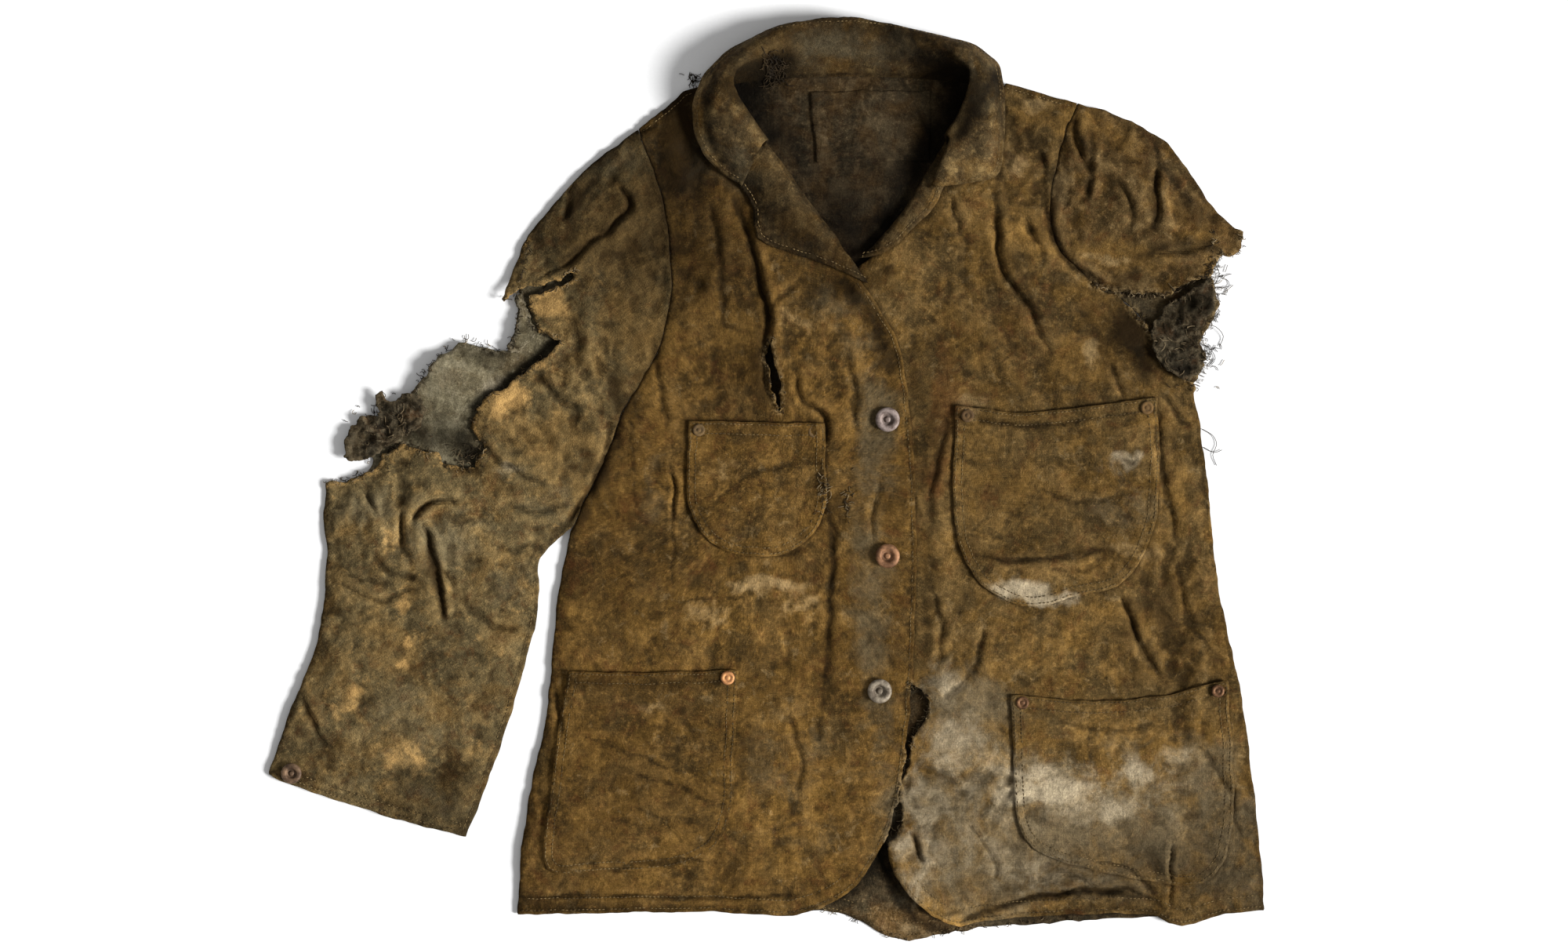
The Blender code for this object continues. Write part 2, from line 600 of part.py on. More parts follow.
def cut_cloth(loop, holes, inner_loops, extras, spacing, clear):
    """Points and triangles of a flat piece: its outline, its gashes, what is sewn on it, and a lattice."""
    loops = [loop] + list(holes) + list(inner_loops)
    fixed = np.vstack(loops)
    edges = []
    start = 0
    for ring in loops:
        count = len(ring)
        edges.extend((start + i, start + (i + 1) % count) for i in range(count))
        start += count
    border = np.vstack([segments_of(ring) for ring in loops])
    points = fixed
    for group, least in ((extras, clear), (lattice_in(loop, spacing), 0.55 * spacing)):
        if not len(group):
            continue
        kept = group[inside(group, loop)]
        for hole in holes:
            kept = kept[~inside(kept, hole)]
        if not len(kept):
            continue
        kept = kept[nearest(kept, border)[0] >= min(least, clear)]
        if len(kept):
            points = np.vstack([points, far_enough(kept, points, least)])
    cut = delaunay_2d_cdt([Vector(p) for p in points], edges, [], 0, 1e-4)
    flat = np.array([(v.x, v.y) for v in cut[0]])
    faces = np.array([f for f in cut[2] if len(f) == 3])
    middle = flat[faces].mean(axis=1)
    keep = inside(middle, loop)
    for hole in holes:
        keep &= ~inside(middle, hole)
    faces = faces[keep]
    a, b, c = flat[faces[:, 0]], flat[faces[:, 1]], flat[faces[:, 2]]
    turn = (b[:, 0] - a[:, 0]) * (c[:, 1] - a[:, 1]) - (b[:, 1] - a[:, 1]) * (c[:, 0] - a[:, 0])
    faces[turn < 0] = faces[turn < 0][:, ::-1]
    return flat, faces


def compact(points, faces):
    used = np.unique(faces)
    place = np.full(len(points), -1)
    place[used] = np.arange(len(used))
    return used, place[faces]


class Piece:
    """A flat piece of cloth: points in plan, triangles, and the height of its top and underside."""

    def __init__(self, flat, faces, top, wall):
        used, self.faces = compact(flat, faces)
        self.flat = flat[used]
        self.top = top[used]
        self.wall = wall
        self.under = self.top - self.thickness()

    def thickness(self):
        p = np.column_stack([self.flat, self.top])
        a, b, c = p[self.faces[:, 0]], p[self.faces[:, 1]], p[self.faces[:, 2]]
        normal = np.cross(b - a, c - a)
        total = np.zeros((len(p), 3))
        for k in range(3):
            np.add.at(total, self.faces[:, k], normal)
        slant = np.linalg.norm(total, axis=1) / np.maximum(total[:, 2], 1e-9)
        return self.wall * np.minimum(slant, MOST_SLANT)

    def raised(self, lift):
        self.top = self.top + lift
        self.under = self.under + lift

    def solid(self):
        """Vertices and triangles of the closed wall, in mm."""
        count = len(self.flat)
        top = np.column_stack([self.flat, self.top])
        under = np.column_stack([self.flat, self.under])
        ends = np.vstack([self.faces[:, [0, 1]], self.faces[:, [1, 2]], self.faces[:, [2, 0]]])
        seen = {(int(a), int(b)) for a, b in ends}
        rim = [(a, b) for a, b in seen if (b, a) not in seen]
        walls = []
        for a, b in sorted(rim):
            walls.append((b, a, a + count))
            walls.append((b, a + count, b + count))
        faces = np.vstack([self.faces, self.faces[:, ::-1] + count, np.array(walls)])
        return np.vstack([top, under]), faces


def tree_of(vertices, faces):
    return BVHTree.FromPolygons([tuple(v) for v in vertices], [tuple(map(int, f)) for f in faces])


def weights(order):
    """Even samples of a triangle as shares of its corners."""
    rows = []
    for i in range(order + 1):
        for j in range(order + 1 - i):
            rows.append((i / order, j / order, (order - i - j) / order))
    return np.array(rows)


def shares_at(corners, x, y):
    """The share of each corner of a triangle at a point in plan."""
    (ax, ay), (bx, by), (cx, cy) = corners[:, :2]
    whole = (bx - ax) * (cy - ay) - (cx - ax) * (by - ay)
    b = ((x - ax) * (cy - ay) - (cx - ax) * (y - ay)) / whole
    c = ((bx - ax) * (y - ay) - (x - ax) * (by - ay)) / whole
    return np.clip(np.array([1 - b - c, b, c]), 0, 1)


def settle(piece, below, gap, order):
    """Raises a piece until all of it clears what it lies on."""
    trees = [tree_of(*solid) for solid in below]
    shares = weights(order)
    down, up = Vector((0, 0, -1)), Vector((0, 0, 1))
    corners = np.vstack([vertices for vertices, faces in below])
    for _ in range(12):
        lift = np.zeros(len(piece.flat))
        body = np.column_stack([piece.flat, piece.under])
        for face in piece.faces:
            for share, (x, y, z) in zip(shares, shares @ body[face]):
                for tree in trees:
                    hit = tree.ray_cast(Vector((x, y, 90.0)), down)
                    if hit[0] is not None and hit[0].z + gap > z:
                        # Each corner takes the part of the rise that it carries at this point.
                        part = share / (share @ share)
                        lift[face] = np.maximum(lift[face], (hit[0].z + gap - z) * part)
        under_tree = tree_of(body, piece.faces)
        for x, y, z in corners:
            hit = under_tree.ray_cast(Vector((x, y, -90.0)), up)
            if hit[0] is not None and z + gap > hit[0].z:
                face = piece.faces[hit[2]]
                share = shares_at(body[face], x, y)
                part = share / (share @ share)
                lift[face] = np.maximum(lift[face], (z + gap - hit[0].z) * part)
        if lift.max() < 0.01:
            break
        piece.raised(lift + 0.005 * (lift > 0))


def ring_inside(loop, kinds, wanted, reach):
    """A row of points just inside the edges of some kinds."""
    moved = inset_loop(loop, [reach] * len(loop))
    near = [k in wanted for k in kinds]
    both = np.array(near) & np.roll(near, 1)
    chosen = moved[both]
    if not len(chosen):
        return np.zeros((0, 2))
    return chosen[nearest(chosen, segments_of(loop))[0] > 0.8 * reach]


def patch_loop(key):
    panel_name, lift, mouth, rest = PATCHES[key]
    if key == "neck_facing":
        lines = [smooth_line((a, b), EDGE_STEP) for a, b in zip(rest, rest[1:])]
    else:
        lines = [smooth_line(rest, EDGE_STEP)]
    loop = np.vstack([line[:-1] for line in [smooth_line(mouth, EDGE_STEP)] + lines])
    return loop if signed_area(loop) > 0 else loop[::-1]


def panel(name, below):
    """A panel of the upper layer, or of the back, and what is sewn flat on it."""
    loop, kinds = outline_of(OUTLINES[name])
    insets = [INSETS[k] for k in kinds]
    cut = inset_loop(loop, insets)
    inner = {key: patch_loop(key) for key, row in PATCHES.items() if row[0] == name}
    holes = [smooth_line(ring + ring[:1], TORN_STEP)[:-1] for ring in GASHES.get(name, ())]
    lower = name in ("back", "sleeve_right_under", "sleeve_left_under")
    extras = [np.zeros((0, 2))]
    if not lower:
        extras.append(ring_inside(cut, kinds, ("rolled", "crease"), RING_IN))
        extras.extend(fold_points(row[3], row[2]) for row in FOLDS)
    spacing = {"back": BACK_LATTICE, "sleeve_right_under": UNDER_LATTICE}.get(name, LATTICE)
    if name in ("sleeve_left_upper", "sleeve_left_under"):
        spacing = SMALL_LATTICE
    flat, faces = cut_cloth(cut, holes, list(inner.values()), np.vstack(extras), spacing, 5.0)
    if lower:
        rise = np.zeros(len(flat))
        for x, y, radius, height in UNDER_RISES.get(name, ()):
            reach = ((flat[:, 0] - x) ** 2 + (flat[:, 1] - y) ** 2) / radius**2
            rise = np.maximum(rise, height * np.exp(-reach))
        rise[rise < 0.25] = 0
        made = Piece(flat, faces, WALL + rise, WALL)
        made.under = made.top - WALL
    else:
        z = shape_edges(flat, upper_height(flat), loop, kinds)
        if name == "front_right":
            z = z + OVERLAP_LIFT * smoothstep(flat[:, 0], OVERLAP_FROM, OVERLAP_TO)
        made = Piece(flat, faces, z, WALL)
        settle(made, below, LAYER_GAP, PANEL_SAMPLES)
    pieces = {name: made}
    middle = made.flat[made.faces].mean(axis=1)
    for key, ring in inner.items():
        wall = PATCH_WALL if key == "neck_facing" else POCKET_WALL
        own = made.faces[inside(middle, ring)]
        patch = Piece(made.flat, own, made.top + LAYER_GAP + wall, wall)
        used = np.unique(own)
        mouth = made.flat[:, 1][used].max()
        lift = PATCHES[key][1] * smoothstep(made.flat[:, 1][used], mouth - MOUTH_REACH, mouth - 2)
        patch.under = made.top[used] + LAYER_GAP + lift
        patch.top = patch.under + patch.thickness()
        pieces[key] = patch
    return pieces


def lapel(name, below):
    loop, kinds = outline_of(OUTLINES[name])
    cut = inset_loop(loop, [INSETS[k] for k in kinds])
    ring = ring_inside(cut, kinds, ("roll_line",), 5.0)
    flat, faces = cut_cloth(cut, [], [], ring, SMALL_LATTICE, 5.0)
    roll = nearest(flat, kind_segments(loop, kinds, ("roll_line",)))[0]
    free = nearest(flat, kind_segments(loop, kinds, ("open",)))[0]
    top_share = np.clip((flat[:, 1] - loop[:, 1].min()) / np.ptp(loop[:, 1]), 0, 1)
    full = LAPEL_LOW + LAPEL_RISE * top_share
    z = LAPEL_EDGE + (full - LAPEL_EDGE) * smoothstep(free, 0.0, 30.0)
    down = np.sqrt(1 - (1 - np.clip(roll / ROLL_RADIUS, 0, 1)) ** 2)
    z = CREASE_EDGE + (z - CREASE_EDGE) * down
    made = Piece(flat, faces, z, WALL)
    settle(made, below, LAPEL_GAP, LAPEL_SAMPLES)
    return made


def scrap(name, below):
    stations, height, ripple, length, turn, jag = SCRAPS[name]
    loop = smooth_line(stations + stations[:1], TORN_STEP)[:-1]
    if signed_area(loop) < 0:
        loop = loop[::-1]
    loop = loop + np.column_stack([hash_noise(loop, 5), hash_noise(loop, 9)]) * jag
    flat, faces = cut_cloth(loop, [], [], np.zeros((0, 2)), SCRAP_LATTICE, 3.0)
    angle = math.radians(turn)
    across = flat[:, 0] * math.cos(angle) + flat[:, 1] * math.sin(angle)
    along = flat[:, 1] * math.cos(angle) - flat[:, 0] * math.sin(angle)
    wave = np.sin(across * 2 * math.pi / length + 0.08 * along) + 0.5 * np.sin(along * 0.43 + 1.0)
    z = 2.0 + WALL + height + ripple * wave
    made = Piece(flat, faces, np.maximum(z, WALL * MOST_SLANT + 0.3), WALL)
    settle(made, below, SCRAP_GAP, SCRAP_SAMPLES)
    return made


def add_mesh(name, vertices, faces, smooth):
    mesh = bpy.data.meshes.new(name)
    mesh.from_pydata([tuple(v * MM) for v in vertices], [], [tuple(map(int, f)) for f in faces])
    mesh.validate()
    build = bmesh.new()
    build.from_mesh(mesh)
    bmesh.ops.recalc_face_normals(build, faces=build.faces)
    build.to_mesh(mesh)
    build.free()
    mesh.polygons.foreach_set("use_smooth", [smooth] * len(mesh.polygons))
    obj = bpy.data.objects.new(name, mesh)
    bpy.data.collections[COLLECTION].objects.link(obj)
    red, green, blue, roughness, metallic = LOOKS["rivet" if name.startswith("rivet") else name]
    material = bpy.data.materials.new(name)
    material.use_nodes = True
    shader = material.node_tree.nodes["Principled BSDF"]
    shader.inputs["Base Color"].default_value = (red, green, blue, 1)
    shader.inputs["Roughness"].default_value = roughness
    shader.inputs["Metallic"].default_value = metallic
    mesh.materials.append(material)
    return obj


def collar_section(row, along):
    """Points across the collar at one section, from its seam over the roll to its outer edge."""
    foot, crest, edge = (Vector(row[i : i + 2]).to_3d() for i in (0, 2, 4))
    foot.z, crest.z, edge.z = row[6:9]
    outwards = Vector((along[1], -along[0], 0)).normalized()
    if outwards.dot(edge - crest) < 0:
        outwards.negate()
    middle = crest - Vector((0, 0, COLLAR_ROLL))
    roll = []
    for degrees in ROLL_ANGLES:
        angle = math.radians(degrees)
        roll.append(middle + COLLAR_ROLL * (outwards * math.cos(angle) + Vector((0, 0, math.sin(angle)))))
    stand = [foot.lerp(roll[0], share) for share in STAND_SHARES]
    fall = []
    for out, kept in FALL_SHARES:
        point = roll[-1].lerp(edge, out)
        point.z = edge.z + (roll[-1].z - edge.z) * kept
        fall.append(point)
    return [tuple(point) for point in stand + roll + fall]


def collar_surface():
    """Grid of points over the collar, from its seam over the roll line to its outer edge, in mm."""
    sections = np.array(COLLAR_SECTIONS)
    crest = sections[:, 2:4]
    length = np.concatenate([[0], np.cumsum(np.linalg.norm(np.diff(crest, axis=0), axis=1))])
    along = np.gradient(crest, axis=0)
    grid = np.array([collar_section(*pair) for pair in zip(COLLAR_SECTIONS, along)])
    count = max(4, round(length[-1] / COLLAR_STATION))
    at = np.linspace(0, length[-1], count + 1)
    out = np.empty((count + 1, grid.shape[1], 3))
    for j in range(grid.shape[1]):
        for k in range(3):
            out[:, j, k] = np.interp(at, length, grid[:, j, k])
    return out


def collar(below):
    grid = collar_surface()
    rows, columns = grid.shape[:2]
    trees = [tree_of(*solid) for solid in below]
    down = Vector((0, 0, -1))
    first_fall = len(STAND_SHARES) + len(ROLL_ANGLES)
    # The fall is raised where the shoulders under it stand higher.
    for i in range(rows):
        for j in range(first_fall, columns):
            need = -1e9
            for dx in (-COLLAR_PROBE, 0, COLLAR_PROBE):
                for dy in (-COLLAR_PROBE, 0, COLLAR_PROBE):
                    start = Vector((grid[i, j, 0] + dx, grid[i, j, 1] + dy, 90.0))
                    for tree in trees:
                        hit = tree.ray_cast(start, down)
                        if hit[0] is not None:
                            need = max(need, hit[0].z + WALL * COLLAR_SLANT + LAYER_GAP)
            grid[i, j, 2] = max(grid[i, j, 2], need)
    vertices = grid.reshape(-1, 3)
    faces = []
    for i in range(rows - 1):
        for j in range(columns - 1):
            a = i * columns + j
            faces.append((a, a + 1, a + columns + 1, a + columns))
    obj = add_mesh("collar", vertices, faces, True)
    middle = obj.data.polygons[len(faces) // 2]
    wall = obj.modifiers.new("wall", "SOLIDIFY")
    wall.thickness = WALL * MM
    wall.use_even_offset = False
    wall.offset = -1.0 if middle.normal.z > 0 else 1.0
    return obj


def turned(name, profile, steps, x, y, scale, below):
    """A turned metal piece standing just off the cloth under it."""
    foot = max(r for r, h in profile if h == 0) * scale
    level = -1e9
    for tree in below:
        for ring in (0.0, 0.5, 1.0):
            for k in range(12):
                angle = math.radians(30 * k)
                start = Vector((x + ring * foot * math.cos(angle), y + ring * foot * math.sin(angle), 90))
                hit = tree.ray_cast(start, Vector((0, 0, -1)))
                if hit[0] is not None:
                    level = max(level, hit[0].z)
    points = [(r * scale, 0.0, h * scale) for r, h in profile]
    edges = [(i, i + 1) for i in range(len(points) - 1)]
    mesh = bpy.data.meshes.new(name)
    mesh.from_pydata([tuple(c * MM for c in p) for p in points], edges, [])
    guide = bpy.data.objects.new(name + "_guide", mesh)
    bpy.data.collections[COLLECTION].objects.link(guide)
    screw = guide.modifiers.new("turn", "SCREW")
    screw.steps = steps
    screw.render_steps = steps
    screw.use_merge_vertices = True
    screw.merge_threshold = 0.00001
    graph = bpy.context.evaluated_depsgraph_get()
    made = bpy.data.meshes.new_from_object(guide.evaluated_get(graph))
    bpy.data.objects.remove(guide, do_unlink=True)
    vertices = np.array([v.co[:] for v in made.vertices]) / MM
    faces = [tuple(p.vertices) for p in made.polygons]
    return add_mesh(name, vertices + np.array([x, y, level + METAL_GAP]), faces, True)


def solid_of(obj):
    """The evaluated mesh of an object, in mm, as triangles."""
    graph = bpy.context.evaluated_depsgraph_get()
    mesh = bpy.data.meshes.new_from_object(obj.evaluated_get(graph))
    mesh.calc_loop_triangles()
    vertices = np.array([v.co[:] for v in mesh.vertices]) / MM
    faces = np.array([t.vertices[:] for t in mesh.loop_triangles])
    bpy.data.meshes.remove(mesh)
    return vertices, faces


def rest_on_origin():
    """Moves the jacket so that its box is centred on the origin and stands on Z = 0."""
    objects = bpy.data.collections[COLLECTION].objects
    solids = np.vstack([solid_of(obj)[0] for obj in objects])
    low, high = solids.min(axis=0), solids.max(axis=0)
    shift = np.array([-(low[0] + high[0]) / 2, -(low[1] + high[1]) / 2, -low[2]]) * MM
    for obj in objects:
        for vertex in obj.data.vertices:
            vertex.co += Vector(shift)


def main():
    clear_scene()
    bpy.context.scene.collection.children.link(bpy.data.collections.new(COLLECTION))
    pieces = {}
    solids = {}
    order = (
        ("back", ()),
        ("sleeve_right_under", ()),
        ("sleeve_left_under", ()),
        ("front_left", ("back", "neck_facing")),
        ("sleeve_left_upper", ("back", "sleeve_left_under")),
        ("front_right", ("back", "neck_facing", "front_left")),
        ("sleeve_right_upper", ("back", "sleeve_right_under")),
    )
    for name, below in order:
        pieces.update(panel(name, [solids[key] for key in below]))
        solids = {key: piece.solid() for key, piece in pieces.items()}
    later = (
        ("lapel_left", lapel, ("back", "neck_facing", "front_left", "front_right")),
        ("lapel_right", lapel, ("back", "neck_facing", "front_left", "front_right", "lapel_left")),
        ("torn_strip", scrap, ("sleeve_right_under", "sleeve_right_upper")),
        ("scrap_elbow", scrap, ("sleeve_right_under", "sleeve_right_upper")),
        ("scrap_armhole", scrap, ("sleeve_left_under", "sleeve_left_upper", "front_left", "back")),
    )
    for name, make, below in later:
        pieces[name] = make(name, [solids[key] for key in below])
        solids[name] = pieces[name].solid()
    for name, (vertices, faces) in solids.items():
        add_mesh(name, vertices, faces, False)
    collar([solids[key] for key in ("back", "front_left", "front_right", "sleeve_right_upper")])
    trees = [tree_of(*solid) for solid in solids.values()]
    for name, (x, y, scale) in BUTTONS.items():
        turned(name, BUTTON_PROFILE, BUTTON_STEPS, x, y, scale, trees)
    for name, (x, y, scale) in RIVETS.items():
        turned(name, RIVET_PROFILE, RIVET_STEPS, x, y, scale, trees)
    rest_on_origin()


main()
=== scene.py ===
"""Cloth, mud, stitching and metal for a worn chore jacket that lies on its back.

Lengths in the tables are millimetres on the jacket's own drawing, +X towards the wearer's left
sleeve and +Y towards the collar. "Right" and "left" are the wearer's.
"""

import math

import bmesh
import bpy
import numpy as np
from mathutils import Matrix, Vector
from mathutils.bvhtree import BVHTree
from mathutils.geometry import delaunay_2d_cdt
from mathutils.kdtree import KDTree


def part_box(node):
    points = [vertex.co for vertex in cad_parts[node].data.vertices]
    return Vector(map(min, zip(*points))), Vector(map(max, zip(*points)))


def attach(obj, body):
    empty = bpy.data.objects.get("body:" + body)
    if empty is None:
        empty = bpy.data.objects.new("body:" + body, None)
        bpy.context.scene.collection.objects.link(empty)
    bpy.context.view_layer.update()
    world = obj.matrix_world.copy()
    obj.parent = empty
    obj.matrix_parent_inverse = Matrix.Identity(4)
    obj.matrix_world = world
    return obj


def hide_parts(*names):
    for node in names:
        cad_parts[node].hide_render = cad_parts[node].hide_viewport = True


bl_info = {
    "name": "Worn Chore Jacket",
    "version": (1, 0, 0),
    "blender": (4, 5, 0),
    "location": "3D View > Sidebar > Jacket",
    "description": "Dresses the solids of a worn chore jacket in cloth, mud, stitching and metal",
    "category": "Object",
}

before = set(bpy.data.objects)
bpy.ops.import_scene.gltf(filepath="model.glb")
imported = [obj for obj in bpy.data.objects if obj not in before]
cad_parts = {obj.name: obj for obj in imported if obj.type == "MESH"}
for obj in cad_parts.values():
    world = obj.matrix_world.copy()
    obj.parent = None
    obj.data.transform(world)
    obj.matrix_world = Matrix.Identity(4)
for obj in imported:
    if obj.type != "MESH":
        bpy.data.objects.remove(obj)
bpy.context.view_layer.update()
MM = 0.001
BODY = "root"

# The top button's place on the drawing gives the drawing's place in the frame.
TOP_BUTTON = (92, 45)
_low, _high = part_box("button_top")
SHIFT = np.array([(_low.x + _high.x) / 2, (_low.y + _high.y) / 2]) / MM - TOP_BUTTON

# Thickness of the cloth, and the gap between pieces that lie on each other.
WALL = 1.8
BACK_WALL = 1.5
POCKET_WALL = 1.5
SUNK_POCKET_WALL = 1.0
FACING_WALL = 0.9
GAP = 0.3

# Stands for a height where there is no surface.
NOWHERE = -1e6

# Creases: depth, half width, height of the lips to the left and right of its run, and its run.
CREASES = (
    (2.4, 5, 0.6, 0.3, ((-64, 288), (-58, 237))),
    (3, 3, 1.2, 0.3, ((-26, 214), (-14, 184), (-8, 156), (-2, 140), (1, 122), (-2, 80), (7, 46))),
    (1.5, 2.5, 0.5, 0.3, ((-2, 126), (25, 153))),
    (2.2, 2.5, 0.6, 0.8, ((20, 87), (28, 60), (45, 46), (43, 20))),
    (1, 3, 0.3, 0.4, ((51, -24), (46, -156))), (1.2, 4, 0.8, 0.2, ((-112, -222), (-76, -232), (-34, -252))),
    (1, 3.5, 0.6, 0.2, ((-106, -246), (-82, -259), (-58, -282))),
    (0.7, 1.5, 0.2, 0.2, ((-72, 30), (-72, -93))), (0.7, 1.5, 0.2, 0.2, ((-72, -93), (-14, -91))),
    (2.2, 1.6, 0.6, 0.4, ((-72, 6), (-70, -36))),
    (1.2, 3.2, 0.6, 0.2, ((-146, -195), (-106, -208), (-64, -225))),
    (1, 3, 0.4, 0.4, ((-130, -301), (-76, -291), (-28, -295))),
    (1.3, 3.4, 0.4, 0.4, ((-86, 111), (-81, 66), (-76, 33))),
    (1.2, 4, 0.5, 0.2, ((-44, 222), (-37, 168), (-32, 114))),
    (0.8, 3, 0.3, 0.3, ((-46, -24), (-10, 4), (32, 11))),
    (1.4, 3, 0.4, 0.6, ((-166, -154), (-159, -177), (-157, -210))),
    (1.2, 3, 0.5, 0.3, ((-16, -48), (14, -57), (41, -48))),
    (1, 3, 0.4, 0.3, ((14, -174), (26, -210), (22, -252))),
    (1.3, 3, 0.4, 0.6, ((59, 102), (68, 66), (69, 30))),
    (1, 2.6, 0.3, 0.4, ((86, 6), (81, -30), (84, -54))),
    (4.2, 2.6, 0.8, 0.6, ((-145, 230), (-151, 212), (-156, 196))),
    (3, 2.4, 0.6, 0.5, ((-98, 264), (-84, 273))),
    (2.2, 2.6, 1, 0.2, ((-124, 233), (-102, 209), (-124, 188), (-152, 165), (-192, 143))),
    (5, 3.2, 0.9, 1, ((-264, -30), (-253, -73), (-247, -104), (-242, -113))),
    (3, 2.6, 0.5, 0.6, ((-249, -67), (-236, -84))),
    (2.6, 3, 0.8, 0.6, ((-271, -36), (-260, -18), (-232, -16))),
    (2.2, 2.6, 0.6, 0.5, ((-280, -23), (-278, -44), (-282, -54))),
    (1.8, 2.6, 0.5, 0.4, ((-308, -10), (-298, -27))), (1.5, 2.4, 0.5, 0.4, ((-322, -72), (-309, -79))),
    (1.8, 2.8, 0.4, 0.6, ((-357, -163), (-345, -192), (-335, -207))),
    (1.4, 3, 0.6, 0.3, ((-332, -79), (-298, -91), (-265, -82))),
    (1.4, 3.4, 0.6, 0.3, ((-226, 30), (-196, 8), (-164, -6))),
    (2, 3, 0.6, 0.4, ((-178, 84), (-160, 60), (-140, 53))),
    (1.4, 3, 0.5, 0.3, ((-202, -20), (-172, -25), (-148, -18))),
    (1.2, 3, 0.4, 0.3, ((-214, -48), (-194, -55), (-174, -49))),
    (3, 3, 0.5, 0.6, ((-117, 48), (-126, 12), (-146, -27), (-165, -48))),
    (1.6, 3, 0.5, 0.4, ((-232, -96), (-208, -114), (-186, -114))),
    (1.4, 3, 0.4, 0.4, ((-304, -54), (-286, -72), (-262, -76))),
    (2.2, 3, 0.8, 0.4, ((174, 225), (178, 168), (200, 126), (220, 90))),
    (1.5, 2.8, 0.5, 0.4, ((142, 216), (147, 186))), (1.4, 2.8, 0.4, 0.4, ((194, 204), (212, 168))),
    (2.6, 3, 0.9, 0.4, ((208, 261), (216, 194), (226, 170), (248, 153), (279, 140), (309, 143))),
    (2, 3, 0.7, 0.4, ((237, 285), (234, 267), (248, 228))), (1.5, 2.8, 0.5, 0.4, ((249, 267), (246, 210))),
    (2.2, 3.2, 0.9, 0.4, ((298, 246), (298, 216), (296, 186))),
    (2, 3, 0.6, 0.5, ((290, 171), (314, 173), (344, 177))),
    (2.2, 3, 0.6, 0.6, ((298, 60), (302, 6), (314, -54))), (2, 2.8, 0.6, 0.5, ((310, -51), (302, -83))),
    (2.6, 3, 1, 0.5, ((270, -83), (283, -124), (303, -158))), (1.5, 2.6, 0.5, 0.4, ((262, 90), (272, 60))),
    (2, 2.8, 0.6, 0.5, ((302, 69), (314, 48), (328, 39))),
    (1.8, 1.8, 0.5, 0.4, ((156, -58), (186, -62), (216, -62), (264, -54))),
    (1.1, 1.7, 0.3, 0.4, ((-190, -319), (-120, -318), (-40, -320), (30, -317))),
    (1.4, 2.2, 0.5, 0.3, ((156, 47), (180, 42), (206, 40), (246, 45))),
    (2, 3, 0.7, 0.5, ((242, -288), (278, -300), (302, -324))),
    (1.5, 2.8, 0.5, 0.4, ((212, -294), (254, -312), (284, -315))),
    (2.2, 1.7, 0.5, 0.5, ((308, -273), (309, -330))),
    (3.4, 2.2, 0.8, 0.7, ((160, -332), (194, -322), (224, -316), (266, -314), (290, -318), (308, -333))),
    (2, 2.4, 0.5, 0.4, ((110, -267), (116, -288), (122, -294))),
    (1.6, 3, 0.6, 0.4, ((314, -66), (322, -108), (347, -144))),
    (1.4, 3.2, 0.5, 0.4, ((320, -192), (350, -234), (363, -282))),
    (1.4, 3, 0.5, 0.4, ((332, 6), (338, -54))), (1, 3.4, 0.5, 0.3, ((166, -102), (158, -144), (131, -174))),
    (1.2, 3, 0.5, 0.3, ((140, 54), (128, 6), (124, -42))),
    (1.2, 3, 0.4, 0.4, ((122, -78), (134, -114), (130, -144))),
    (1, 3, 0.4, 0.4, ((152, -258), (171, -288), (176, -312))),
    (1.3, 2.8, 0.4, 0.4, ((266, 231), (278, 210), (275, 186))),
    (1, 3, 0.4, 0.3, ((200, -6), (242, -18), (284, -10))),
    (1.2, 3, 0.4, 0.3, ((212, -183), (254, -192), (314, -187))),
)
